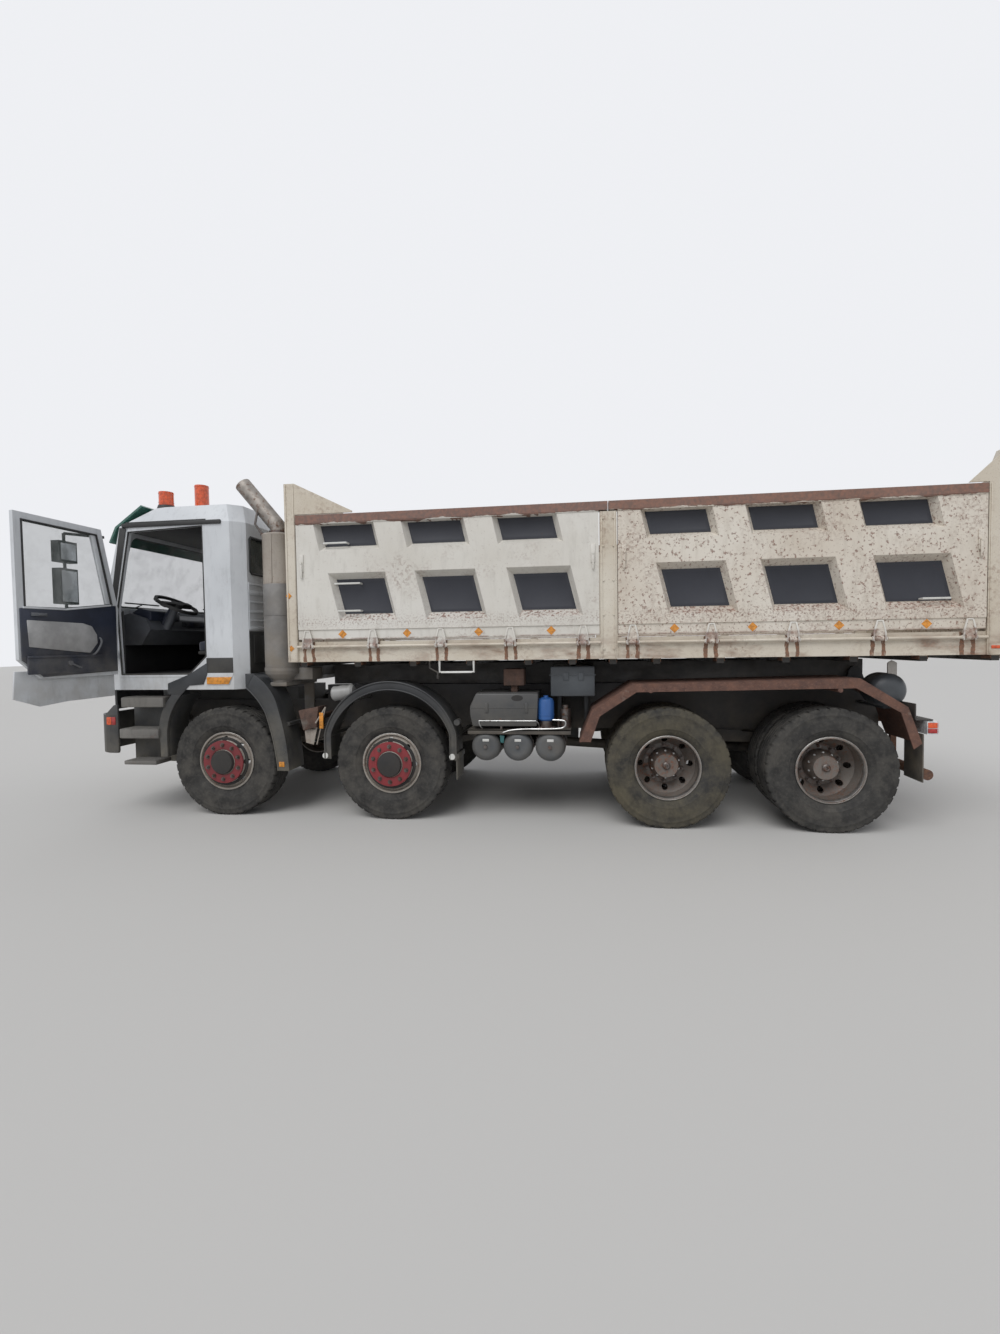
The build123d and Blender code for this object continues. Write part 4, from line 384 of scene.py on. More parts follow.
def overcast_light():
    """A dim sky that looks bright to the camera and in reflections, and a soft high sun."""
    bpy.context.scene.view_settings.view_transform = "Standard"
    world = bpy.data.worlds.new("overcast")
    world.use_nodes = True
    bpy.context.scene.world = world
    tree = world.node_tree
    sky = tree.nodes["Background"]
    feed(sky.inputs["Color"], (0.93, 0.95, 1.0))
    feed(sky.inputs["Strength"], 0.62)
    shown = add_node(tree, "Background", {"Color": (0.86, 0.87, 0.9), "Strength": 1.0})
    rays = add_node(tree, "LightPath", {}).outputs
    seen = {0: rays["Is Camera Ray"], 1: rays["Is Glossy Ray"]}
    either = add_node(tree, "Math", seen, operation="MAXIMUM")
    mix = add_node(tree, "MixShader", {0: either.outputs[0], 1: sky.outputs[0], 2: shown.outputs[0]})
    feed(tree.nodes["World Output"].inputs["Surface"], mix.outputs[0])
    data = bpy.data.lights.new("soft_sun", "SUN")
    data.energy = 1.5
    data.angle = math.radians(40)
    lamp = bpy.data.objects.new("soft_sun", data)
    lamp.rotation_euler = (math.radians(-38), math.radians(14), 0)
    bpy.context.scene.collection.objects.link(lamp)


# Finishes of this lorry

CAB_WHITE = old_paint(
    "cab_white", (0.66, 0.68, 0.7), (0.56, 0.58, 0.6), 0.1, dirt=(1.75, 1.25, (0.3, 0.27, 0.22), 0.35)
)
BED_CREAM = bed_paint("bed_cream", (0.66, 0.61, 0.52), (0.54, 0.47, 0.37))
GATE_WHITE = rail_rust("gate_white", (0.71, 0.69, 0.64), (0.62, 0.59, 0.53), 0.45, 0.25)
GATE_CREAM = rail_rust("gate_cream", (0.7, 0.65, 0.57), (0.6, 0.53, 0.44), 0.8, 0.8)
TAIL_CREAM = old_paint("tail_cream", (0.56, 0.5, 0.4), (0.42, 0.37, 0.28), 0.9)
POCKET_NAVY = old_paint(
    "pocket_navy", (0.016, 0.018, 0.026), (0.028, 0.03, 0.04), 0.06, rough=(0.55, 0.85)
)
GUARD_RUST = rusty_steel(
    "guard_rust", (0.15, 0.075, 0.052), (0.085, 0.045, 0.035), (0.22, 0.17, 0.14), 0.25
)
RUSTY_STEEL = rusty_steel("rusty_steel", (0.17, 0.085, 0.05), (0.08, 0.042, 0.03))
FRAME_BLACK = road_grime("frame_black", (0.022, 0.022, 0.024), (0.2, 0.17, 0.13), 1.3, 0.6, 0.7)
ENGINE_IRON = road_grime("engine_iron", (0.045, 0.045, 0.045), (0.2, 0.17, 0.13), 1.3, 0.6, 0.75)
DARK_PLASTIC = road_grime("dark_plastic", (0.024, 0.025, 0.027), (0.21, 0.19, 0.15), 1.2, 0.35, 0.62)
TANK_GREY = road_grime("tank_grey", (0.05, 0.056, 0.062), (0.14, 0.125, 0.105), 1.2, 0.5, 0.5)
COVER_GREY = old_paint(
    "cover_grey", (0.05, 0.052, 0.055), (0.085, 0.083, 0.08), 0.1,
    dirt=(1.35, 0.8, (0.13, 0.12, 0.1), 0.6),
)
TYRE_BLACK = tyre_rubber("tyre_black", (0.115, 0.105, 0.09), 0.25)
TYRE_MUDDY = tyre_rubber("tyre_muddy", (0.13, 0.112, 0.072), 0.85)
RIM_BEIGE = old_paint("rim_beige", (0.36, 0.33, 0.29), (0.24, 0.21, 0.18), 0.7)
RIM_WORN = old_paint("rim_worn", (0.2, 0.18, 0.16), (0.11, 0.095, 0.085), 0.95)
RIM_LIP = metal("rim_lip", (0.46, 0.45, 0.43), 0.42, 0.25)
HUB_RED = old_paint("hub_red", (0.26, 0.03, 0.036), (0.16, 0.026, 0.03), 0.25)
HUB_IRON = metal("hub_iron", (0.2, 0.18, 0.17), 0.5, 0.6)
STEEL_BRIGHT = metal("steel_bright", (0.55, 0.55, 0.54), 0.35, 0.1)
STACK_STEEL = metal("stack_steel", (0.34, 0.31, 0.28), 0.55, 0.45, 0.7)
STACK_GREY = road_grime("stack_grey", (0.17, 0.165, 0.16), (0.26, 0.22, 0.17), 2.4, 1.2, 0.6, 0.2)
HOIST_CHROME = metal("hoist_chrome", (0.62, 0.62, 0.62), 0.16)
AMBER = lamp_plastic("amber_lamp", (0.76, 0.29, 0.02))
ORANGE = lamp_plastic("orange_beacon", (0.8, 0.105, 0.02))
RED_LAMP = lamp_plastic("red_lamp", (0.42, 0.02, 0.018))
CLEAR_LAMP = lamp_plastic("clear_lamp", (0.72, 0.74, 0.75))
VISOR_GREEN = lamp_plastic("visor_green", (0.045, 0.15, 0.115))
GLASS = window_glass("tinted_glass", (0.1, 0.13, 0.12), 0.22)
SEAT_CLOTH = seat_cloth("seat_cloth", (0.045, 0.05, 0.07))
TRIM_NAVY = road_grime("trim_navy", (0.016, 0.02, 0.034), (0.2, 0.19, 0.17), 1.9, 1.3, 0.6)
TRIM_GREY = road_grime("trim_grey", (0.09, 0.095, 0.105), (0.22, 0.2, 0.17), 1.9, 1.2, 0.65)
SEAL_BLACK = road_grime("seal_black", (0.018, 0.018, 0.018), (0.15, 0.14, 0.12), 1.8, 1.0, 0.75)
MIRROR_GLASS = metal("mirror_glass", (0.8, 0.82, 0.84), 0.22, 0.0, 0.45)
CANISTER_BLUE = old_paint("canister_blue", (0.03, 0.11, 0.33), (0.022, 0.08, 0.24), 0.1)
HINGE_WHITE = old_paint("hinge_white", (0.66, 0.64, 0.6), (0.5, 0.46, 0.4), 0.45)
WHITE_PLASTIC = old_paint("white_plastic", (0.72, 0.72, 0.7), (0.55, 0.54, 0.5), 0.05)
POCKET_GREY = road_grime("pocket_grey", (0.3, 0.3, 0.3), (0.24, 0.22, 0.19), 1.9, 1.3, 0.7)
# Near-black for the hub caps, the cover vent and the pipe's bore, and painted shade on the cabin
# linings and the brake drums.
BLACK_AND_SHADE = road_grime("black_and_shade", (0.012, 0.012, 0.013), (0.05, 0.045, 0.04), 1.8, 1.0, 0.85)
FENDER_GREY = road_grime("fender_grey", (0.03, 0.032, 0.035), (0.2, 0.18, 0.14), 1.3, 0.4, 0.55)
STEP_GREY = old_paint("step_grey", (0.21, 0.2, 0.18), (0.1, 0.095, 0.09), 0.45, rough=(0.5, 0.85))
STACK_SLEEVE = old_paint("stack_sleeve", (0.42, 0.38, 0.33), (0.3, 0.26, 0.22), 0.65)
SILVER_PAINT = old_paint("silver_paint", (0.36, 0.36, 0.35), (0.24, 0.23, 0.22), 0.2, rough=(0.35, 0.6))
BOX_BROWN = rusty_steel("box_brown", (0.11, 0.062, 0.045), (0.06, 0.038, 0.03), (0.16, 0.14, 0.12), 0.3)
TEAL_PAINT = old_paint("teal_paint", (0.05, 0.2, 0.2), (0.03, 0.12, 0.12), 0.1)

FINISHES = {}
for finish, names in (
    (FRAME_BLACK, "chassis_frame front_axles rear_axles hoist_barrel"),
    (ENGINE_IRON, "engine_block"),
    (DARK_PLASTIC, "front_bumper cab_steps mudguards cab_front_panel"),
    (GUARD_RUST, "rear_mudguards"),
    (COVER_GREY, "side_boxes"),
    (TANK_GREY, "air_tanks fuel_tank"),
    (STACK_GREY, "exhaust_stack"),
    (RUSTY_STEEL, "rear_bar"),
    (CLEAR_LAMP, "lamps"),
    (CAB_WHITE, "cab_shell door_left door_right"),
    (GLASS, "cab_glass door_glass_left door_glass_right"),
    (VISOR_GREEN, "sun_visor"),
    (ORANGE, "beacons"),
    (SEAL_BLACK, "mirrors steering_wheel"),
    (SEAT_CLOTH, "seats"),
    (TRIM_GREY, "dashboard"),
    (BED_CREAM, "bed_body"),
    (GATE_WHITE, "gate_front_left gate_front_right"),
    (GATE_CREAM, "gate_rear_left gate_rear_right"),
    (TAIL_CREAM, "tailgate"),
    (HOIST_CHROME, "hoist_stage_1 hoist_stage_2 hoist_stage_3 hoist_stage_4"),
):
    FINISHES.update(dict.fromkeys(names.split(), finish))
for side_name, side in SIDES:
    for number in (1, 2):
        FINISHES[f"knuckle_{number}_{side_name}"] = FRAME_BLACK
        FINISHES[f"tyre_{number}_{side_name}"] = TYRE_BLACK
        FINISHES[f"rim_{number}_{side_name}"] = RIM_BEIGE
    for number in (3, 4):
        FINISHES[f"tyres_{number}_{side_name}"] = TYRE_MUDDY if number == 3 else TYRE_BLACK
        FINISHES[f"rims_{number}_{side_name}"] = RIM_WORN
for name, node in nodes.items():
    node.data.materials.clear()
    node.data.materials.append(FINISHES[name])


# Workshop steps

def bare():
    """Leaves nothing selected."""
    bpy.ops.object.select_all(action="DESELECT")


def picked(piece):
    """Selects one piece alone and makes it the active one."""
    bare()
    piece.select_set(True)
    bpy.context.view_layer.objects.active = piece


def settle(piece):
    """Puts a piece's place into its mesh."""
    picked(piece)
    bpy.ops.object.transform_apply(location=True, rotation=True, scale=True)
    return piece


def round_edges(piece, width, segments=2):
    """Bevels a piece's sharp edges. A width of nought leaves them sharp."""
    if not width:
        return piece
    bevel = piece.modifiers.new("edge", "BEVEL")
    bevel.width = width
    bevel.segments = segments
    bevel.limit_method = "ANGLE"
    bevel.angle_limit = math.radians(35)
    bpy.context.view_layer.objects.active = piece
    bpy.ops.object.modifier_apply(modifier=bevel.name)
    return piece


def bar(low, high, edge=0.004):
    """A bevelled bar between two corners."""
    bare()
    middle = [(a + b) / 2 for a, b in zip(low, high)]
    bpy.ops.mesh.primitive_cube_add(size=1, location=middle)
    piece = bpy.context.active_object
    piece.scale = [abs(b - a) for a, b in zip(low, high)]
    return round_edges(settle(piece), edge)


def rod(start, end, radius, tip=None, sides=16, edge=0):
    """A round rod or cone from one place to another."""
    bare()
    start, end = Vector(start), Vector(end)
    line = end - start
    bpy.ops.mesh.primitive_cone_add(
        vertices=sides,
        radius1=radius,
        radius2=radius if tip is None else tip,
        depth=line.length,
        location=(start + end) / 2,
        rotation=line.to_track_quat("Z", "Y").to_euler(),
    )
    return round_edges(settle(bpy.context.active_object), edge)


def edit_whole(*steps):
    """Runs edit-mode steps on the whole active piece: each is an operator and its settings."""
    bpy.ops.object.mode_set(mode="EDIT")
    for operator, settings in steps:
        bpy.ops.mesh.select_all(action="SELECT")
        operator(**settings)
    bpy.ops.object.mode_set(mode="OBJECT")


def edit_faces(piece, chosen, *steps):
    """Runs edit-mode steps on the faces that a test picks."""
    bpy.ops.object.mode_set(mode="EDIT")
    bpy.ops.mesh.select_all(action="DESELECT")
    bpy.ops.object.mode_set(mode="OBJECT")
    for face in piece.data.polygons:
        face.select = chosen(face)
    bpy.ops.object.mode_set(mode="EDIT")
    bpy.ops.mesh.select_mode(type="FACE")
    for operator, settings in steps:
        operator(**settings)
    bpy.ops.object.mode_set(mode="OBJECT")


def turned(section, centre, axis, steps):
    """Spins a closed section of (radius, along) round a centre. Its points start straight down."""
    bare()
    bpy.ops.mesh.primitive_circle_add(vertices=len(section), radius=1, fill_type="NOTHING")
    piece = bpy.context.active_object
    centre, axis = Vector(centre), Vector(axis).normalized()
    down = Vector((0, 0, -1)) if abs(axis.z) < 0.9 else Vector(AHEAD)
    for vertex, (radius, along) in zip(piece.data.vertices, section):
        vertex.co = centre + down * radius + axis * along
    edit_whole(
        (bpy.ops.mesh.spin, {"steps": steps, "angle": math.tau, "center": centre, "axis": axis}),
        (bpy.ops.mesh.remove_doubles, {"threshold": 0.00005}),
        (bpy.ops.mesh.normals_make_consistent, {"inside": False}),
    )
    return piece


def thickened(piece, push, edge):
    """Gives the active flat sheet its thickness and rounds its edges."""
    edit_whole(
        (bpy.ops.mesh.extrude_region_move, {"TRANSFORM_OT_translate": {"value": push}}),
        (bpy.ops.mesh.normals_make_consistent, {"inside": False}),
    )
    return round_edges(piece, edge)


def cut_plate(outline, level, thickness, way="Y", edge=0):
    """A plate cut to an outline. Way Y takes x, z points, X takes y, z and Z takes x, y."""
    bare()
    bpy.ops.mesh.primitive_circle_add(vertices=len(outline), radius=1, fill_type="NGON")
    piece = bpy.context.active_object
    for vertex, (a, b) in zip(piece.data.vertices, outline):
        vertex.co = {"Y": (a, level, b), "X": (level, a, b), "Z": (a, b, level)}[way]
    push = {"Y": (0, thickness, 0), "X": (thickness, 0, 0), "Z": (0, 0, thickness)}[way]
    return thickened(piece, push, edge)


def bent_rod(points, radius, sides=10, smooth=False):
    """A bent handle, pipe or bracket along points."""
    data = bpy.data.curves.new("bend", "CURVE")
    data.dimensions = "3D"
    data.bevel_depth = radius
    data.bevel_resolution = max(1, sides // 4)
    data.use_fill_caps = True
    line = data.splines.new("NURBS" if smooth else "POLY")
    line.points.add(len(points) - 1)
    for point, place in zip(line.points, points):
        point.co = (*place, 1)
    if smooth:
        line.order_u = 3
        line.use_endpoint_u = True
        line.resolution_u = 8
    piece = bpy.data.objects.new("bend", data)
    bpy.context.scene.collection.objects.link(piece)
    picked(piece)
    bpy.ops.object.convert(target="MESH")
    return bpy.context.active_object


def bent_ring(points, radius):
    """A bent rod that comes back to its first point."""
    return bent_rod([*points, points[0]], radius, 8)


def welded(pieces):
    """Joins pieces into one."""
    picked(pieces[0])
    for piece in pieces:
        piece.select_set(True)
    if len(pieces) > 1:
        bpy.ops.object.join()
    return pieces[0]


def built(*rows):
    """Makes and joins simple shapes: each row is a maker and what it takes."""
    return welded([maker(*rest) for maker, *rest in rows])


def bars(edge, *corners):
    """Joined bars with one bevel: each row is a low and a high corner."""
    return welded([bar(low, high, edge) for low, high in corners])


def copied(piece, shift=(0, 0, 0), flip=False):
    """A copy with its own mesh, moved, or mirrored to the right-hand side."""
    twin = piece.copy()
    twin.data = piece.data.copy()
    bpy.context.scene.collection.objects.link(twin)
    if flip:
        twin.data.transform(Matrix.Diagonal((1, -1, 1, 1)))
        twin.data.flip_normals()
    twin.data.transform(Matrix.Translation(shift))
    return twin


def done(piece, name, body, finish, replaces=(), angle=35):
    """Names a finished piece, gives it its finish and sets it on its body."""
    settle(piece)
    piece.name = name
    piece.data.name = name
    piece.data.materials.clear()
    piece.data.materials.append(finish)
    bpy.ops.object.shade_smooth_by_angle(angle=math.radians(angle))
    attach(piece, body)
    if replaces:
        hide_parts(*replaces)
    return piece


def both_sides(piece, name, body, finish, replaces=()):
    """Sets a left-hand piece and its mirrored copy. SIDE in the body's name stands for each side."""
    right = copied(piece, flip=True)
    for twin, side_name in ((piece, "left"), (right, "right")):
        done(twin, f"{name}_{side_name}", body.replace("SIDE", side_name), finish, replaces)


# Wheels

AXLE_Z = 0.535
FRONT_WHEEL_Y = 1.02
TWIN_Y = 0.905
TWIN_HALF = 0.167
TREAD_RADIUS = 0.52
AXLES = {1: 0.0, 2: -1.7, 3: -4.25, 4: -5.6}


def tyre_section():
    """Bead, ribbed sidewall, square shoulder and a tread with four grooves."""
    half = [
        (0.2865, 0.111), (0.298, 0.119), (0.31, 0.131), (0.33, 0.1415), (0.346, 0.1465), (0.351, 0.151),
        (0.361, 0.1505), (0.378, 0.1535), (0.405, 0.1555), (0.44, 0.1545), (0.466, 0.152),
        (0.471, 0.1545), (0.481, 0.154), (0.486, 0.1505), (0.505, 0.15), (0.52, 0.148), (0.53, 0.144),
        (0.535, 0.137), (0.535, 0.079), (0.525, 0.077), (0.525, 0.068), (0.535, 0.066), (0.535, 0.032),
        (0.525, 0.03), (0.525, 0.021), (0.535, 0.019),
    ]
    return half + [(radius, -across) for radius, across in reversed(half)]


def tyre(steps=160):
    """One tyre at the first axle's middle plane, with shallow cuts across its shoulders."""
    def on_a_cut(face):
        x, y, z = face.center
        step = round(math.atan2(x, AXLE_Z - z) / math.tau * steps - 0.5)
        return math.hypot(x, z - AXLE_Z) > TREAD_RADIUS and 0.08 < abs(y) < 0.15 and step % 4 == 2

    piece = turned(tyre_section(), (0, 0, AXLE_Z), ACROSS, steps)
    picked(piece)
    cut = {"TRANSFORM_OT_shrink_fatten": {"value": -0.007}}
    edit_faces(piece, on_a_cut, (bpy.ops.mesh.extrude_region_shrink_fatten, cut))
    return piece


def nut_ring(count, circle, face_y, size, reach):
    """Hexagon nuts on studs round a wheel's hub, on the left at the first axle."""
    foot, shim, top, stud = (
        (0, face_y + reach * share, AXLE_Z + circle) for share in (0, 0.28, 1, 1.5)
    )
    nut = built(
        (rod, foot, top, size, size * 0.92, 6),
        (rod, foot, shim, size * 1.28, size * 1.2, 16),
        (rod, top, stud, size * 0.55, size * 0.45, 10),
    )
    ring = [nut]
    for index in range(1, count):
        twin = copied(nut)
        middle = Matrix.Translation((0, 0, AXLE_Z))
        twin.data.transform(
            middle @ Matrix.Rotation(math.tau * index / count, 4, "Y") @ middle.inverted()
        )
        ring.append(twin)
    return welded(ring)


def wheels():
    """Single tyres on the front axles and twin tyres on the rear ones."""
    one = tyre()
    for side_name, side in SIDES:
        for number in (1, 2):
            piece = copied(one, (AXLES[number], FRONT_WHEEL_Y * side, 0))
            place = f"{number}_{side_name}"
            done(
                piece, f"tread_{place}", f"wheel_{place}", TYRE_BLACK,
                (f"tyre_{place}",), 40,
            )
        for number in (3, 4):
            inner, outer = (
                copied(one, (AXLES[number], (TWIN_Y + shift) * side, 0))
                for shift in (-TWIN_HALF, TWIN_HALF)
            )
            place = f"{number}_{side_name}"
            finish = TYRE_MUDDY if number == 3 else TYRE_BLACK
            piece = welded([outer, inner])
            done(
                piece, f"treads_{place}", f"wheels_{place}", finish, (f"tyres_{place}",),
                40,
            )
    bpy.data.objects.remove(one)


def on_wheels(numbers, body, *rows):
    """Sets copies of left-hand pieces on both sides' wheels, and takes the first ones away."""
    for number in numbers:
        for side_name, side in SIDES:
            place = f"{number}_{side_name}"
            for piece, name, finish in rows:
                twin = copied(piece, (AXLES[number], 0, 0), side < 0)
                done(twin, f"{name}_{place}", f"{body}_{place}", finish)
    for piece, *_ in rows:
        bpy.data.objects.remove(piece)


def front_hubs():
    """A red nut ring, its nuts and a bright rim flange on each front wheel."""
    face = FRONT_WHEEL_Y + 0.165
    ring = turned([
        (0.122, 0), (0.208, 0), (0.212, 0.006), (0.208, 0.016), (0.15, 0.02), (0.128, 0.018),
        (0.122, 0.01),
    ], (0, face, AXLE_Z), ACROSS, 64)
    nuts = nut_ring(10, 0.1675, face + 0.016, 0.0175, 0.02)
    flange = turned([
        (0.272, 0), (0.286, 0), (0.2885, 0.004), (0.2885, 0.01), (0.282, 0.0125), (0.276, 0.009),
        (0.272, 0.004),
    ], (0, FRONT_WHEEL_Y + 0.1115, AXLE_Z), ACROSS, 96)
    on_wheels(
        (1, 2), "wheel", (ring, "nut_ring", HUB_RED), (nuts, "nuts", HUB_IRON),
        (flange, "rim_flange", RIM_LIP),
    )


def rear_hubs():
    """Wheel nuts deep in the dish, cap bolts, a centre boss and a bright flange."""
    deep = nut_ring(10, 0.1675, TWIN_Y + 0.014, 0.0175, 0.022)
    cap = nut_ring(10, 0.121, TWIN_Y + 0.105, 0.0085, 0.012)
    boss = turned([
        (0.0, 0), (0.034, 0), (0.034, 0.012), (0.024, 0.02), (0.012, 0.02), (0.01, 0.01), (0.0, 0.01),
    ], (0, TWIN_Y + 0.18, AXLE_Z), ACROSS, 32)
    flange = turned([
        (0.262, -0.03), (0.272, -0.03), (0.286, -0.004), (0.2885, 0.003), (0.2885, 0.01),
        (0.282, 0.013), (0.274, 0.009), (0.268, 0),
    ], (0, TWIN_Y + TWIN_HALF + 0.1115, AXLE_Z), ACROSS, 96)
    on_wheels(
        (3, 4), "wheels", (deep, "deep_nuts", HUB_IRON), (cap, "cap_bolts", STEEL_BRIGHT),
        (boss, "hub_boss", HUB_IRON), (flange, "rim_flange", RIM_LIP),
    )


def hub_caps_and_drums():
    """Black caps over the front hubs, and near-black brake drums behind every disc: painted shade seen
    through the discs' hand holes.
    """
    cap = turned([
        (0.0, 0), (0.104, 0), (0.118, 0.004), (0.118, 0.03), (0.11, 0.046), (0.07, 0.054), (0.0, 0.056),
    ], (0, FRONT_WHEEL_Y + 0.166, AXLE_Z), ACROSS, 48)
    # The drum's near-black is painted shade that darkens the hand holes in the disc.
    drum = turned([
        (0.15, -0.012), (0.236, -0.012), (0.24, -0.016), (0.24, -0.026), (0.15, -0.026),
    ], (0, FRONT_WHEEL_Y + 0.155, AXLE_Z), ACROSS, 64)
    on_wheels((1, 2), "wheel", (cap, "hub_cap", BLACK_AND_SHADE), (drum, "brake_drum", BLACK_AND_SHADE))


# Bed and gates

POCKET_FLOOR_Y = 1.175
BAR_Y, BAR_Z = 1.258, 1.654
BAND_FOOT, BAND_TOP = 1.722, 1.815
UPPER_POCKETS = {
    "front": ((-1.063, -1.571), (-1.912, -2.418), (-2.755, -3.258)),
    "rear": ((-4.059, -4.581), (-4.925, -5.449), (-5.817, -6.335)),
}
LOWER_POCKETS = {
    "front": ((-1.21, -1.684), (-2.045, -2.529), (-2.894, -3.386)),
    "rear": ((-4.199, -4.698), (-5.058, -5.574), (-5.943, -6.448)),
}
REFLECTORS = {"front": (-1.285, -1.91, -2.58, -3.237), "rear": (-4.303, -4.948, -5.635, -6.305)}
PRESSED_BORDER = (
    (bpy.ops.mesh.inset, {"thickness": 0.022, "depth": 0}),
    (bpy.ops.mesh.inset, {"thickness": 0.006, "depth": -0.003}),
)


def pocket_panels():
    """The dark panels at the bottom of the gates' pockets, with a pressed border."""
    for gate in ("front", "rear"):
        panels = []
        for pockets, bottom, top, slant in (
            (UPPER_POCKETS, 2.594, 2.795, 0.045), (LOWER_POCKETS, 1.957, 2.289, 0.08)
        ):
            for front, rear in pockets[gate]:
                outline = (
                    (front - 0.003, top - 0.003), (rear + 0.004, top - 0.003),
                    (rear - slant + 0.004, bottom + 0.003), (front - slant - 0.003, bottom + 0.003),
                )
                panel = cut_plate(outline, POCKET_FLOOR_Y + 0.0002, 0.004)
                edit_faces(panel, lambda face: face.normal.y > 0.9, *PRESSED_BORDER)
                panels.append(panel)
        both_sides(
            welded(panels), f"pocket_panels_{gate}", f"gate_{gate}_SIDE", POCKET_NAVY
        )


def gate_hinges():
    """A-frames on the gates' feet: two folded legs, a cap plate and a knuckle round the bar."""
    for gate in ("front", "rear"):
        frames = []
        bolts = []
        for x in HINGE_LUGS[gate]:
            for way in (-1, 1):
                leg = (
                    (x + way * 0.014, BAND_TOP - 0.012),
                    (x + way * 0.027, BAND_TOP - 0.012),
                    (x + way * 0.05, BAR_Z + 0.058),
                    (x + way * 0.05, BAR_Z - 0.022),
                    (x + way * 0.037, BAR_Z - 0.022),
                    (x + way * 0.037, BAR_Z + 0.05),
                )
                frames.append(cut_plate(leg, SIDE_Y + 0.008, 0.014, edge=0.0025))
                bolts.append(
                    rod(
                        (x + way * 0.05, BAR_Y, BAR_Z), (x + way * 0.058, BAR_Y, BAR_Z), 0.019, 0.017, 6
                    ),
                )
            frames.append(
                cut_plate((
                    (x - 0.024, BAND_TOP - 0.02), (x + 0.024, BAND_TOP - 0.02),
                    (x + 0.024, BAND_TOP - 0.008), (x - 0.024, BAND_TOP - 0.008),
                ), SIDE_Y + 0.006, 0.014, edge=0.002),
            )
            bolts.append(
                rod((x - 0.022, BAR_Y, BAR_Z), (x + 0.022, BAR_Y, BAR_Z), 0.02, sides=20, edge=0.003)
            )
        both_sides(welded(frames), f"lug_legs_{gate}", f"gate_{gate}_SIDE", GATE_WHITE)
        both_sides(welded(bolts), f"lug_knuckles_{gate}", f"gate_{gate}_SIDE", HINGE_WHITE)


def gate_trim():
    """Reflectors on the band, folds under the rail and over the band, and latches."""
    band_z = (BAND_FOOT + BAND_TOP) / 2
    for gate, span in (("front", (-0.85, -3.66)), ("rear", (-3.827, -6.742))):
        finish = GATE_WHITE if gate == "front" else GATE_CREAM
        diamonds = []
        borders = []
        for x in REFLECTORS[gate]:
            for size, store, y in (
                (0.047, borders, SIDE_Y - 0.0078), (0.042, diamonds, SIDE_Y - 0.0066)
            ):
                outline = (
                    (x - size, band_z), (x, band_z - size), (x + size, band_z), (x, band_z + size)
                )
                store.append(cut_plate(outline, y, 0.0014))
        both_sides(welded(diamonds), f"diamonds_{gate}", f"gate_{gate}_SIDE", AMBER)
        both_sides(
            welded(borders), f"diamond_borders_{gate}", f"gate_{gate}_SIDE", WHITE_PLASTIC
        )
        strips = built(
            (bar, (span[1], SIDE_Y - 0.001, 2.8), (span[0], SIDE_Y + 0.007, 2.811), 0.003),
            (
                bar, (span[1], SIDE_Y - 0.004, BAND_TOP - 0.003),
                (span[0], SIDE_Y + 0.003, BAND_TOP + 0.005), 0.002,
            ),
            (bar, (span[1], SIDE_Y - 0.009, BAND_FOOT), (
                span[0], SIDE_Y - 0.001, BAND_FOOT + 0.006,
            ), 0.002),
        )
        both_sides(strips, f"folds_{gate}", f"gate_{gate}_SIDE", finish)
    latches = []
    for x in (-0.9, -3.61, -3.878, -6.694):
        latches.append(bar((x - 0.02, SIDE_Y - 0.001, 2.36), (x + 0.02, SIDE_Y + 0.01, 2.52), 0.003))
        latches.append(rod((x, SIDE_Y + 0.01, 2.44), (x, SIDE_Y + 0.026, 2.44), 0.013, 0.011, 12))
        latches.append(bar((x - 0.01, SIDE_Y + 0.012, 2.3), (x + 0.01, SIDE_Y + 0.022, 2.45), 0.003))
    both_sides(welded(latches[:6]), "latches_front", "gate_front_SIDE", GATE_WHITE)
    both_sides(welded(latches[6:]), "latches_rear", "gate_rear_SIDE", GATE_CREAM)


def climbing_rungs():
    """White rungs welded across the first and the last columns of pockets."""
    foot, face = 1.178, 1.24
    for gate, places in (
        ("front", ((-1.12, 2.62, 0.22), (-1.22, 2.24, 0.24), (-1.22, 1.985, 0.24))),
        ("rear", ((-6.28, 1.975, 0.2),)),
    ):
        rungs = []
        for x, z, reach in places:
            points = ((x, foot, z), (x, face, z), (x - reach, face, z), (x - reach, foot, z))
            rungs.append(bent_rod(points, 0.009))
        both_sides(welded(rungs), f"rungs_{gate}", f"gate_{gate}_SIDE", WHITE_PLASTIC)


def bed_trim():
    """Flanges and bolts on the posts, seams across the floor and the cross beams' end plates."""
    flanges = []
    for low, high in (
        ((-0.842, 1.52), (-0.742, 3.18)), ((-3.812, 1.52), (-3.675, 2.795)),
        ((-6.945, 1.52), (-6.757, 2.88)),
    ):
        for x in (low[0] + 0.006, high[0] - 0.018):
            flanges.append(
                bar((x, SIDE_Y - 0.001, low[1]), (x + 0.012, SIDE_Y + 0.007, high[1]), 0.003)
            )
    for x in (-3.7, -3.787):
        for z in (1.6, 1.9, 2.2, 2.5, 2.74):
            flanges.append(rod((x, SIDE_Y - 0.001, z), (x, SIDE_Y + 0.01, z), 0.011, 0.01, 6))
    both_sides(welded(flanges), "post_flanges", "bed", BED_CREAM)
    seams = []
    for x in (-1.4, -2.48, -3.42, -4.16, -5.24, -6.32):
        seams.append(bar((x - 0.03, -1.165, 1.6395), (x + 0.03, 1.165, 1.6425), 0.001))
    done(welded(seams), "floor_seams", "bed", RUSTY_STEEL)
    ends = []
    for x in (-0.86, -1.4, -1.94, -2.48, -3.02, -3.42, -3.78, -4.16, -4.7, -5.24, -5.78, -6.32, -6.86):
        for shift in (-0.036, 0.03):
            ends.append(bar((x + shift, 1.05, 1.475), (x + shift + 0.006, 1.1725, 1.617), 0.0015))
    both_sides(welded(ends), "beam_gussets", "bed", RUSTY_STEEL)


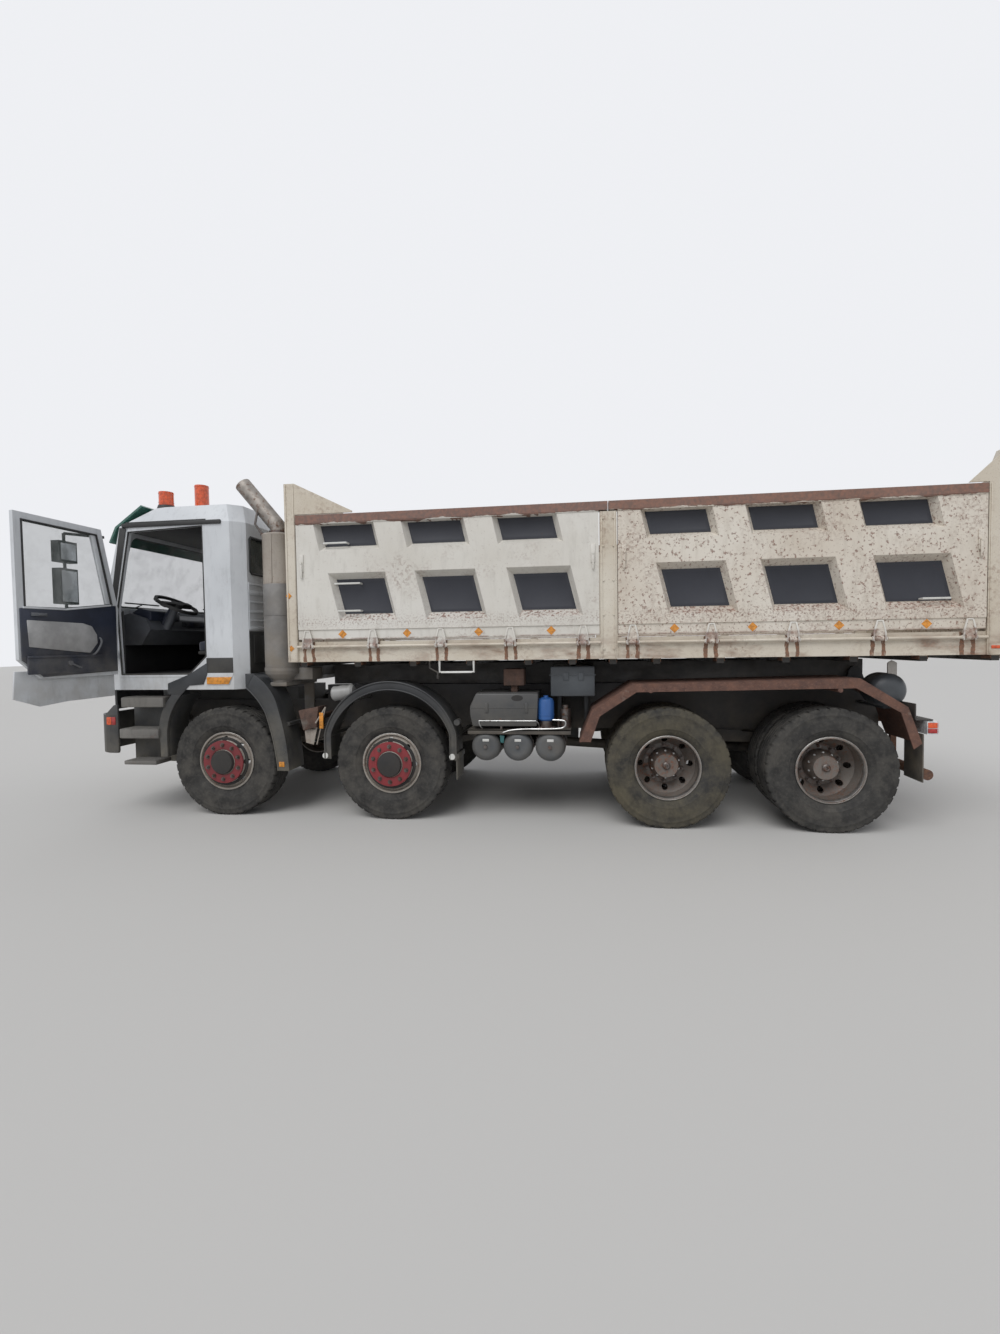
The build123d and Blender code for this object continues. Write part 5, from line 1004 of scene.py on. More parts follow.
def step_bracket():
    """U-shaped step and the gate lever under the rail."""
    step = bent_rod((
        (-2.204, 1.215, 1.512), (-2.204, 1.215, 1.404), (-2.524, 1.215, 1.404), (-2.524, 1.215, 1.512),
    ), 0.011)
    tread = bar((-2.51, 1.196, 1.394), (-2.22, 1.236, 1.404), 0.003)
    both_sides(welded([step, tread]), "bed_step", "bed", WHITE_PLASTIC)
    lever = [
        bent_rod(
            ((-2.11, 1.21, 1.515), (-2.11, 1.21, 1.44), (-2.19, 1.23, 1.4), (-2.19, 1.235, 1.37)), 0.009
        ),
        rod((-2.19, 1.235, 1.372), (-2.19, 1.235, 1.345), 0.014, 0.012, 12),
    ]
    both_sides(welded(lever), "gate_lever", "bed", BED_CREAM)


# Cab, doors and cabin

def door_opening_trim():
    """Rubber seals round the door openings, and the black gutter over them."""
    outline = (
        (1.066, 1.404), (1.091, 2.05), (0.94, 2.816), (0.144, 2.846), (0.144, 1.577), (0.327, 1.404)
    )
    ring = [(x, CAB_SIDE_Y - 0.004, z) for x, z in outline]
    both_sides(bent_ring(ring, 0.009), "door_seal", "cab", SEAL_BLACK)
    gutter = built(
        (bar, (-0.06, CAB_SIDE_Y - 0.003, 2.858), (1.0, CAB_SIDE_Y + 0.016, 2.9), 0.008),
        (bar, (0.1, CAB_SIDE_Y - 0.002, 2.896), (0.96, CAB_SIDE_Y + 0.006, 2.912), 0.003),
    )
    both_sides(gutter, "gutter", "cab", SEAL_BLACK)


def windscreen_trim():
    """Seal round the windscreen, parked wipers and black pillar covers."""
    slope = math.atan2(0.24, 0.82)
    up = Vector((-math.sin(slope), 0, math.cos(slope)))
    out = Vector((math.cos(slope), 0, math.sin(slope)))
    foot = Vector((1.4, 0, 2.06))
    corners = []
    for y, along in ((-0.905, 0.05), (0.905, 0.05), (0.905, 0.804), (-0.905, 0.804)):
        corners.append(foot + Vector((0, y, 0)) + up * along + out * 0.002)
    done(bent_ring(corners, 0.016), "screen_seal", "cab", SEAL_BLACK)
    wipers = []
    reach = Vector((0, 0.26, 0))
    for y in (0.78, 0.1, -0.56):
        start = foot + Vector((0.012, y, -0.02))
        end = foot + Vector((0, y - 0.3, 0)) + up * 0.085 + out * 0.026
        blade = end + up * 0.012 - out * 0.01
        wipers.append(rod(start, end, 0.01, 0.006, 10))
        wipers.append(rod(blade - reach, blade + reach, 0.008, 0.008, 8))
        wipers.append(rod(start - out * 0.016, start + out * 0.014, 0.024, 0.02, 16))
    done(welded(wipers), "wipers", "cab", SEAL_BLACK)
    outline = ((1.11, 2.062), (1.168, 2.062), (1.03, 2.86), (0.962, 2.86))
    pillar = cut_plate(outline, CAB_SIDE_Y - 0.0005, 0.004, edge=0.001)
    both_sides(pillar, "pillar_cover", "cab", SEAL_BLACK)


def cab_side_trim():
    """Black band, amber lamp with its bezel, and the white sill strip."""
    side = CAB_SIDE_Y + 0.0002
    band = cut_plate(
        ((0.14, 1.412), (0.14, 1.56), (-0.14, 1.56), (-0.14, 1.412)), side, 0.004, edge=0.001
    )
    both_sides(band, "side_band", "cab", SEAL_BLACK)
    lamp = cut_plate(
        ((0.138, 1.302), (0.138, 1.372), (-0.126, 1.372), (-0.09, 1.302)), side, 0.012, edge=0.003
    )
    both_sides(lamp, "side_lamp", "cab", AMBER)
    bezel = cut_plate(
        ((0.146, 1.294), (0.146, 1.412), (-0.146, 1.412), (-0.096, 1.294)), side, 0.004, edge=0.001
    )
    both_sides(bezel, "lamp_bezel", "cab", CAB_WHITE)
    strip = bar((0.345, CAB_SIDE_Y - 0.002, 1.375), (1.075, CAB_SIDE_Y + 0.004, 1.397), 0.002)
    both_sides(strip, "sill_strip", "cab", CAB_WHITE)


BACK_X = -0.249
REAR_WINDOW = (
    (-0.19, 2.415), (-0.165, 2.39), (0.165, 2.39), (0.19, 2.415), (0.19, 2.725), (0.165, 2.75),
    (-0.165, 2.75), (-0.19, 2.725),
)


def cab_rear_trim():
    """Pressed ribs, window seals and the dark lower sheet on the cab's back wall."""
    ribs = []
    for low, high in ((0.64, 1.08), (-1.08, -0.64)):
        for z, thick in (
            (2.285, 0.01), (2.2, 0.022), (2.11, 0.01), (2.015, 0.014), (1.925, 0.01), (1.85, 0.018)
        ):
            ribs.append(bar((-0.258, low, z - thick), (BACK_X, high, z + thick), 0.005))
        ribs.append(bar((-0.257, low, 1.84), (BACK_X, low + 0.014, 2.3), 0.004))
        ribs.append(bar((-0.257, high - 0.014, 1.84), (BACK_X, high, 2.3), 0.004))
    for y in (-0.3, 0.3):
        ribs.append(bar((-0.2575, y - 0.018, 1.86), (BACK_X, y + 0.018, 2.75), 0.005))
    done(welded(ribs), "rear_ribs", "cab", CAB_WHITE)
    lower = built(
        (bar, (-0.256, -1.085, 1.3), (-0.2495, 1.085, 1.82), 0.003),
        (bar, (-0.264, 0.7, 1.5), (-0.2555, 1.02, 1.78), 0.006),
        (bar, (-0.264, -1.02, 1.5), (-0.2555, -0.7, 1.78), 0.006),
        (bar, (-0.264, -0.5, 1.5), (-0.2555, 0.5, 1.78), 0.006),
    )
    done(lower, "rear_sheet", "cab", SEAL_BLACK)
    for side_name, side in SIDES:
        corners = [(-0.2515, 0.85 * side + y, z) for y, z in REAR_WINDOW]
        seal = bent_ring(corners, 0.013)
        done(seal, f"rear_window_seal_{side_name}", "cab", SEAL_BLACK)


GRILLE_X = 1.3995


def front_trim():
    """Grille bars and frame, headlamps' rings and lenses, and a blank plate on the bumper."""
    bars_set = []
    for index in range(5):
        z = 1.392 + index * 0.084
        bars_set.append(bar((1.38, -0.555, z + 0.01), (1.398, 0.555, z + 0.022), 0.003))
        bars_set.append(bar((1.38, -0.555, z - 0.012), (1.396, 0.555, z - 0.002), 0.003))
    done(welded(bars_set), "grille_bars", "cab", TRIM_GREY)
    frame_bars = [
        bar((GRILLE_X, -0.6, 1.335), (1.408, 0.6, 1.35), 0.003),
        bar((GRILLE_X, -0.6, 1.775), (1.408, 0.6, 1.79), 0.003),
        bar((GRILLE_X, -0.6, 1.35), (1.408, -0.585, 1.775), 0.003),
        bar((GRILLE_X, 0.585, 1.35), (1.408, 0.6, 1.775), 0.003),
        bar((GRILLE_X, -0.8, 1.88), (1.412, 0.8, 1.93), 0.006),
    ]
    done(welded(frame_bars), "grille_frame", "cab", DARK_PLASTIC)
    for side_name, side in SIDES:
        rings = []
        lenses = []
        for y in (0.705, 0.855):
            place = (1.4445, y * side, 0.8)
            rings.append(
                turned([(0.058, 0), (0.066, 0), (0.066, 0.006), (0.058, 0.009)], place, AHEAD, 32)
            )
            lenses.append(
                turned([
                    (0.0, 0.002), (0.02, 0.006), (0.04, 0.005), (0.058, 0.0), (0.0, 0.0),
                ], place, AHEAD, 32),
            )
        done(welded(rings), f"headlamp_rings_{side_name}", "chassis", STEEL_BRIGHT)
        done(welded(lenses), f"headlamp_lenses_{side_name}", "chassis", CLEAR_LAMP)
    plate = cut_plate(
        ((-0.26, 0.74), (0.26, 0.74), (0.26, 0.852), (-0.26, 0.852)), 1.4685, 0.003, "X", 0.001
    )
    done(plate, "blank_plate", "chassis", WHITE_PLASTIC)


# Doors' linings, skirts and handles

DOOR_PIN = Vector((1.1, 1.222, 0))
DOOR_OPEN = math.radians(-100)
WINDOW = ((1.015, 2.09), (0.885, 2.75), (0.215, 2.775), (0.215, 2.03), (0.56, 2.03))


def on_doors(piece, name, finish):
    """A piece made on the shut left door: swung open there, mirrored and shut on the right."""
    right = copied(piece, flip=True)
    done(right, f"{name}_right", "door_right", finish)
    turn = Matrix.Rotation(DOOR_OPEN, 4, "Z")
    piece.data.transform(Matrix.Translation(DOOR_PIN) @ turn @ Matrix.Translation(-DOOR_PIN))
    done(piece, f"{name}_left", "door_left", finish)


def door_linings():
    """Navy lining, pale pocket, ledge, handles, latch, window seals and the window's front strip."""
    lining = cut_plate((
        (1.052, 2.085), (1.046, 1.446), (0.344, 1.424), (0.168, 1.575), (0.168, 2.02), (0.56, 2.02),
        (1.0, 2.08),
    ), 1.144, 0.016, edge=0.005)
    on_doors(lining, "door_lining", TRIM_NAVY)
    pocket = cut_plate((
        (0.212, 1.92), (0.7, 1.905), (0.787, 1.88), (0.835, 1.8), (0.838, 1.72), (0.764, 1.63),
        (0.64, 1.64), (0.223, 1.689),
    ), 1.132, 0.014, edge=0.006)
    on_doors(pocket, "door_pocket", POCKET_GREY)
    shelf = built(
        (bar, (0.2, 1.118, 1.59), (0.9, 1.146, 1.612), 0.005),
        (bar, (0.2, 1.126, 1.45), (0.9, 1.146, 1.6), 0.008),
    )
    on_doors(shelf, "door_shelf", TRIM_NAVY)
    ledge = built(
        (bar, (0.19, 1.138, 2.018), (0.56, 1.162, 2.034), 0.004),
        (cut_plate, (
            (0.556, 2.018), (1.0, 2.078), (1.0, 2.094), (0.556, 2.034),
        ), 1.138, 0.024, "Y", 0.004),
    )
    on_doors(ledge, "door_ledge", CAB_WHITE)
    handles = built(
        (bent_rod, (
            (0.868, 1.144, 1.77), (0.868, 1.112, 1.75), (0.846, 1.108, 1.69), (0.8, 1.112, 1.622),
            (0.79, 1.144, 1.606),
        ), 0.01, 10, True),
        (bar, (0.25, 1.128, 1.955), (0.38, 1.146, 1.985), 0.004),
        (bar, (0.3, 1.118, 1.962), (0.372, 1.13, 1.978), 0.003),
        (rod, (0.56, 1.146, 1.54), (0.56, 1.112, 1.54), 0.022),
        (bent_rod, ((0.56, 1.116, 1.54), (0.64, 1.11, 1.5), (0.64, 1.09, 1.5)), 0.008),
    )
    on_doors(handles, "door_handles", TRIM_GREY)
    outer = bars(
        0.006,
        ((0.19, 1.199, 1.925), (0.37, 1.206, 1.99)),
        ((0.205, 1.204, 1.945), (0.355, 1.232, 1.968)),
    )
    on_doors(outer, "door_pull", SEAL_BLACK)
    seals = []
    for y in (1.16, 1.199):
        seals.append(bent_ring([(x, y, z) for x, z in WINDOW], 0.011))
    on_doors(welded(seals), "window_seals", SEAL_BLACK)
    strip = cut_plate(
        ((1.012, 2.098), (0.884, 2.744), (0.838, 2.744), (0.966, 2.098)), 1.164, 0.032, edge=0.003
    )
    on_doors(strip, "window_front_strip", CAB_WHITE)


def door_skirts():
    """White skirts that hang outside the sill below each door, with a recess pressed in."""
    outline = (
        (1.06, 1.2), (1.06, 1.48), (0.145, 1.48), (0.125, 1.245), (0.345, 1.163), (0.6, 1.189),
        (0.7, 1.19),
    )
    skirt = built(
        (cut_plate, outline, 1.213, 0.018, "Y", 0.004),
        (bar, (0.345, 1.197, 1.438), (1.04, 1.216, 1.476), 0.003),
        (bar, (0.2, 1.23, 1.4), (1.05, 1.236, 1.412), 0.002),
    )
    on_doors(skirt, "door_skirt", CAB_WHITE)


# Cabin

def cabin_shade_linings():
    """Black headlining, floor, rear lining and pillar linings: painted shade that keeps the cabin dark
    inside.
    """
    corners = ((-0.204, 1.075), (-0.12, 1.152))
    floor_plan = corners + ((1.06, 1.152), (1.33, 0.86))
    roof_plan = corners + ((1.03, 1.152), (1.08, 0.94))
    plates = []
    for plan, z, thick in ((floor_plan, 1.372, 0.03), (roof_plan, 2.852, 0.012)):
        outline = plan + tuple((x, -y) for x, y in reversed(plan))
        plates.append(cut_plate(outline, z, thick, "Z", 0.003))
    plates.append(bar((-0.208, -1.075, 1.4), (-0.198, 1.075, 2.852), 0.003))
    for side in (1, -1):
        plates.append(bar((-0.125, 1.148 * side, 1.4), (0.135, 1.156 * side, 2.852), 0.002))
        plates.append(
            cut_plate((
                (1.078, 1.15 * side), (1.33, 0.872 * side), (1.318, 0.866 * side),
                (1.066, 1.144 * side),
            ), FLOOR_Z, 0.64, "Z"),
        )
    plates.append(bar((1.312, -0.87, FLOOR_Z), (1.35, 0.87, 1.7), 0.004))
    # The near-black linings stand in for the shade inside the cabin.
    done(welded(plates), "cabin_shade_lining", "cab", BLACK_AND_SHADE)


def dash_details():
    """Instrument hood, a shelf, the steering column's cover and vents."""
    hood = built(
        (cut_plate, (
            (1.02, 1.96), (1.02, 2.06), (1.16, 2.095), (1.26, 2.04), (1.2, 1.96),
        ), 0.36, 0.46, "Y", 0.012),
        (bar, (1.0, -0.5, 1.9), (1.05, 0.25, 1.965), 0.008),
        (rod, (1.06, 0.6, 1.93), (0.935, 0.6, 2.08), 0.045, 0.036, 20),
    )
    done(hood, "dash_hood", "cab", TRIM_NAVY)
    vents = []
    for y in (-0.7, -0.3, 0.1, 0.3):
        for index in range(4):
            vents.append(
                bar(
                    (0.994, y - 0.06, 1.906 + index * 0.014), (1.002, y + 0.06, 1.914 + index * 0.014),
                    0.001,
                ),
            )
    done(welded(vents), "dash_vents", "cab", SEAL_BLACK)


def cushion(low, high, crown, edge):
    """A crowned pad between two corners: a subdivided block, swollen and pinched at its rim."""
    piece = bar(low, high, 0)
    edit_whole((bpy.ops.mesh.subdivide, {"number_cuts": 7}))
    centre = Vector([(a + b) / 2 for a, b in zip(low, high)])
    half = Vector([(b - a) / 2 for a, b in zip(low, high)])
    for vertex in piece.data.vertices:
        share = Vector([(c - m) / h for c, m, h in zip(vertex.co, centre, half)])
        for axis in range(3):
            others = [share[other] for other in range(3) if other != axis]
            swell = (1 - others[0] ** 4) * (1 - others[1] ** 4)
            pull = edge * (1 - swell)
            vertex.co[axis] += share[axis] * (crown[axis] * swell - pull)
    smooth = piece.modifiers.new("smooth", "SUBSURF")
    smooth.levels = 1
    smooth.render_levels = 1
    bpy.context.view_layer.objects.active = piece
    bpy.ops.object.modifier_apply(modifier=smooth.name)
    return piece


def seat_upholstery():
    """Two cloth seats: a cushion and a tall ribbed backrest each, on a black pedestal."""
    pads = []
    frames = []
    for side in (1, -1):
        y = 0.6 * side
        pads.append(
            cushion((0.0, y - 0.245, 1.615), (0.49, y + 0.245, 1.735), (0.006, 0.006, 0.018), 0.012)
        )
        pads.append(
            cushion((-0.05, y - 0.235, 1.74), (0.075, y + 0.235, 2.3), (0.014, 0.006, 0.008), 0.01)
        )
        for along in (-0.11, 0.11):
            pads.append(
                cushion(
                    (0.06, y + along - 0.095, 1.8), (0.092, y + along + 0.095, 2.22), (0.006, 0.0, 0.0),
                    0.004,
                ),
            )
        frames.append(bar((0.02, y - 0.2, FLOOR_Z), (0.44, y + 0.2, 1.612), 0.012))
        frames.append(bar((-0.01, y - 0.255, 1.59), (0.47, y + 0.255, 1.625), 0.01))
    piece = done(welded(pads), "seat_pads", "cab", SEAT_CLOTH, ("seats",), 50)
    done(welded(frames), "seat_frames", "cab", SEAL_BLACK)


# Exhaust stack

STACK_X, STACK_Y = -0.555, 1.02


def stack_parts():
    """Grey silencer with its cone foot and inlet box, paler guard sleeve, bent tail pipe and clamps."""
    centre = (STACK_X, STACK_Y, 0)
    silencer = turned([
        (0.0, 1.312), (0.09, 1.312), (0.092, 1.33), (0.157, 1.392), (0.16, 1.4), (0.16, 2.262),
        (0.157, 2.27), (0.0, 2.27),
    ], centre, UP, 48)
    lower = welded([
        silencer,
        bar((-0.86, 0.76, 1.33), (-0.6, 1.0, 1.45), 0.012),
        turned([(0.158, 1.42), (0.166, 1.42), (0.166, 1.455), (0.158, 1.455)], centre, UP, 48),
        turned([(0.158, 1.96), (0.163, 1.962), (0.163, 1.986), (0.158, 1.988)], centre, UP, 48),
        bar((-0.64, FRAME_Y, 1.272), (-0.47, 1.11, 1.312), 0.006),
        bar((-0.61, FRAME_Y, 0.93), (-0.5, 0.46, 1.3), 0.006),
    ])
    done(lower, "silencer", "chassis", STACK_GREY, ("exhaust_stack",))
    sleeve = welded([
        turned([
            (0.11, 2.268), (0.155, 2.268), (0.1575, 2.275), (0.155, 2.29), (0.155, 2.735),
            (0.159, 2.742), (0.159, 2.752), (0.15, 2.76), (0.078, 2.764), (0.078, 2.755),
        ], centre, UP, 48),
        bar((STACK_X - 0.004, STACK_Y + 0.15, 2.275), (STACK_X + 0.004, STACK_Y + 0.162, 2.745), 0.001),
    ])
    done(sleeve, "guard_sleeve", "chassis", STACK_SLEEVE)
    along = Vector((0.636, 0, 0.772))
    end = Vector((-0.193, STACK_Y, 3.269))
    pipe = bent_rod((
        (STACK_X, STACK_Y, 2.755), (STACK_X, STACK_Y, 2.812), (STACK_X + 0.01, STACK_Y, 2.85),
        (STACK_X + 0.036, STACK_Y, 2.88), tuple(end),
    ), 0.078, 40)
    lip = turned([
        (0.066, -0.004), (0.078, -0.012), (0.081, -0.004), (0.081, 0.006), (0.078, 0.01),
        (0.068, 0.008),
    ], end, along, 40)
    done(welded([pipe, lip]), "tail_pipe", "chassis", STACK_STEEL)
    bore = rod(end - along * 0.01, end + along * 0.0015, 0.0665, sides=40)
    done(bore, "pipe_bore", "chassis", BLACK_AND_SHADE)
    clamps = [
        turned([(0.078, 2.772), (0.088, 2.772), (0.088, 2.796), (0.078, 2.796)], centre, UP, 40),
        bent_rod((
            (-0.412, STACK_Y + 0.05, 2.762), (-0.35, STACK_Y + 0.07, 2.86),
            (-0.372, STACK_Y + 0.062, 2.985),
        ), 0.012, 8),
        rod((-0.412, STACK_Y + 0.05, 2.752), (-0.412, STACK_Y + 0.05, 2.776), 0.02, sides=8),
        rod((-0.455, STACK_Y + 0.02, 2.762), (-0.455, STACK_Y + 0.02, 2.79), 0.015, sides=6),
    ]
    done(welded(clamps), "pipe_clamps", "chassis", HUB_IRON)


# Steps, arches, fenders and mudguards

GUARD_BACK_Y, LIP_Y, GUARD_Y = 0.88, 1.17, 1.195


def arc_through(start, middle, end, count):
    """Places along the arc through three points in x, z."""
    (ax, az), (bx, bz), (cx, cz) = start, middle, end
    a, b, c = (x * x + z * z for x, z in (start, middle, end))
    double = 2 * (ax * (bz - cz) + bx * (cz - az) + cx * (az - bz))
    ux = (a * (bz - cz) + b * (cz - az) + c * (az - bz)) / double
    uz = (a * (cx - bx) + b * (ax - cx) + c * (bx - ax)) / double
    radius = math.hypot(ax - ux, az - uz)
    first, mid, last = (math.atan2(z - uz, x - ux) for x, z in (start, middle, end))
    turn = (last - first) % math.tau
    if (mid - first) % math.tau > turn:
        turn -= math.tau
    angles = [first + turn * index / count for index in range(count + 1)]
    return [(ux + radius * math.cos(angle), uz + radius * math.sin(angle)) for angle in angles]


def arch_band(outer, inner, y_low, y_high, edge=0.004):
    """A curved sheet between an outer and an inner line in x, z that have as many points."""
    bare()
    count = len(outer)
    bpy.ops.mesh.primitive_grid_add(x_subdivisions=count - 1, y_subdivisions=1, size=1)
    piece = bpy.context.active_object
    lines = (inner, outer)
    for index, vertex in enumerate(piece.data.vertices):
        x, z = lines[index // count][index % count]
        vertex.co = (x, y_low, z)
    return thickened(piece, (0, y_high - y_low, 0), edge)


def fender_line(*places):
    """Two arcs in a row through five places."""
    return arc_through(*places[:3], 10) + arc_through(*places[2:], 10)[1:]


def fenders():
    """Smooth dark fender behind the first wheel, and the ribbed mudguard over the second."""
    outer = fender_line(
        (-0.345, 1.394), (-0.497, 1.262), (-0.59, 1.05), (-0.655, 0.77), (-0.686, 0.454)
    )
    lip = fender_line((-0.268, 1.265), (-0.38, 1.152), (-0.464, 1.019), (-0.535, 0.76), (-0.578, 0.456))
    sheet = fender_line(
        (-0.33, 1.376), (-0.478, 1.248), (-0.57, 1.043), (-0.634, 0.768), (-0.664, 0.454)
    )
    front = [
        arch_band(outer, lip, LIP_Y, GUARD_Y),
        arch_band(outer, sheet, GUARD_BACK_Y, LIP_Y + 0.002),
        cut_plate((
            (-0.258, 1.402), (-0.345, 1.394), (-0.268, 1.265), (-0.258, 1.275),
        ), 1.17, 0.025, edge=0.003),
        bar((-0.345, 0.88, 1.38), (-0.258, 1.172, 1.4), 0.003),
        bent_rod([(x + 0.006, 1.192, z) for x, z in lip], 0.008, 8, True),
        rod((-0.636, 0.431, 0.9), (-0.636, 1.1, 0.9), 0.02),
    ]
    both_sides(welded(front), "fender", "chassis", FENDER_GREY, ("mudguards",))
    both_sides(
        bar((-0.64, 1.194, 0.495), (-0.585, 1.201, 0.545), 0.003), "fender_reflector", "chassis", AMBER,
    )
    x = AXLES[2]
    knee = 0.82
    rims = []
    for half, top in ((0.64, 1.315), (0.618, 1.293), (0.585, 1.241)):
        arc = arc_through((x + half, knee), (x, top), (x - half, knee), 28)
        front, rear = ([(x + way * half, z) for z in (0.58, 0.7)] for way in (1, -1))
        rims.append(front + arc + rear[::-1])
    guard = [
        arch_band(rims[0], rims[2], LIP_Y, GUARD_Y),
        arch_band(rims[0], rims[1], GUARD_BACK_Y, LIP_Y + 0.002),
        bent_rod([(a, 1.197, b) for a, b in rims[0]], 0.009, 8, True),
        bent_rod([(a, 1.196, b) for a, b in rims[2]], 0.007, 8, True),
        rod((-1.075, 0.431, 0.8), (-1.075, 1.17, 0.8), 0.02),
        rod((-2.325, 0.431, 0.8), (-2.325, 1.17, 0.8), 0.02),
        rod((-2.353, 1.1, 0.935), (-2.353, 1.205, 0.935), 0.028, sides=24),
        bar((-2.35, 0.9, 0.4), (-2.338, 1.19, 0.64), 0.004),
        bar((-2.362, 0.9, 0.59), (-2.326, 1.19, 0.64), 0.004),
    ]
    both_sides(welded(guard), "second_mudguard", "chassis", DARK_PLASTIC)
    dots = built(
        (rod, (-1.061, 1.194, 0.611), (-1.061, 1.202, 0.611), 0.029, 0.027, 24),
        (rod, (-2.303, 1.194, 0.613), (-2.303, 1.202, 0.613), 0.029, 0.027, 24),
    )
    both_sides(dots, "round_reflectors", "chassis", WHITE_PLASTIC)


def cab_step_boards():
    """Step boxes with worn grey treads, the arch sheet, its filler plate and a back plate."""
    arch_line = [(0.592, 0.58)] + arc_through((0.592, 0.72), (0.545, 1.01), (0.43, 1.19), 12)
    edge_line = [(0.668, 0.58)] + arc_through((0.668, 0.72), (0.628, 1.055), (0.512, 1.215), 12)
    thin_line = [(0.612, 0.58)] + arc_through((0.612, 0.72), (0.563, 1.022), (0.448, 1.203), 12)
    dark = [
        arch_band(edge_line, arch_line, 1.16, 1.205),
        arch_band(thin_line, arch_line, GUARD_BACK_Y, 1.165),
        cut_plate((
            (0.133, 1.4), (0.133, 1.512), (0.33, 1.4), (0.561, 1.312), (0.565, 1.203), (0.505, 1.203),
            (0.43, 1.19), (0.33, 1.29), (0.18, 1.3),
        ), 1.2015, 0.006, edge=0.002),
        bar((0.6, 1.005, 0.5), (1.1, 1.018, 1.1), 0.004),
        bar((0.86, FRAME_Y, 0.86), (0.9, 1.01, 0.9), 0.004),
    ]
    both_sides(welded(dark), "step_frame", "chassis", FENDER_GREY, ("cab_steps",))
    boards = []
    for front, rear, low, high in (
        (1.07, 0.605, 1.077, 1.175), (1.1, 0.67, 0.764, 0.859), (1.06, 0.7, 0.5, 0.54)
    ):
        boards.append(bar((rear, 1.012, low), (front, 1.228, high), 0.01))
        for index in range(9):
            y = 1.04 + index * 0.021
            boards.append(
                bar(
                    (rear + 0.02, y - 0.004, high - 0.001), (front - 0.02, y + 0.004, high + 0.005),
                    0.0015,
                ),
            )
        boards.append(
            bar((rear + 0.012, 1.227, low + 0.01), (front - 0.012, 1.2295, low + 0.022), 0.001)
        )
    both_sides(welded(boards), "step_boards", "chassis", STEP_GREY)


WING_Y = 1.2285


def bumper_corners():
    """Wings at the bumper's ends with amber and red corner lamps."""
    wing = cut_plate((
        (1.25, 0.63), (1.25, 1.0), (1.236, 1.018), (1.152, 1.1), (1.11, 1.1), (1.11, 0.63),
    ), 1.2005, 0.0285, edge=0.008)
    both_sides(wing, "bumper_wing", "chassis", FENDER_GREY)
    both_sides(
        bar((1.181, WING_Y, 0.9), (1.232, 1.2345, 0.98), 0.003), "corner_amber", "chassis", ORANGE,
    )
    both_sides(
        bar((1.132, WING_Y, 0.9), (1.178, 1.2345, 0.98), 0.003), "corner_red", "chassis", RED_LAMP,
    )


# Boxes, tanks and pipes along the frame

CANISTER = (-3.17, 1.07, 0)


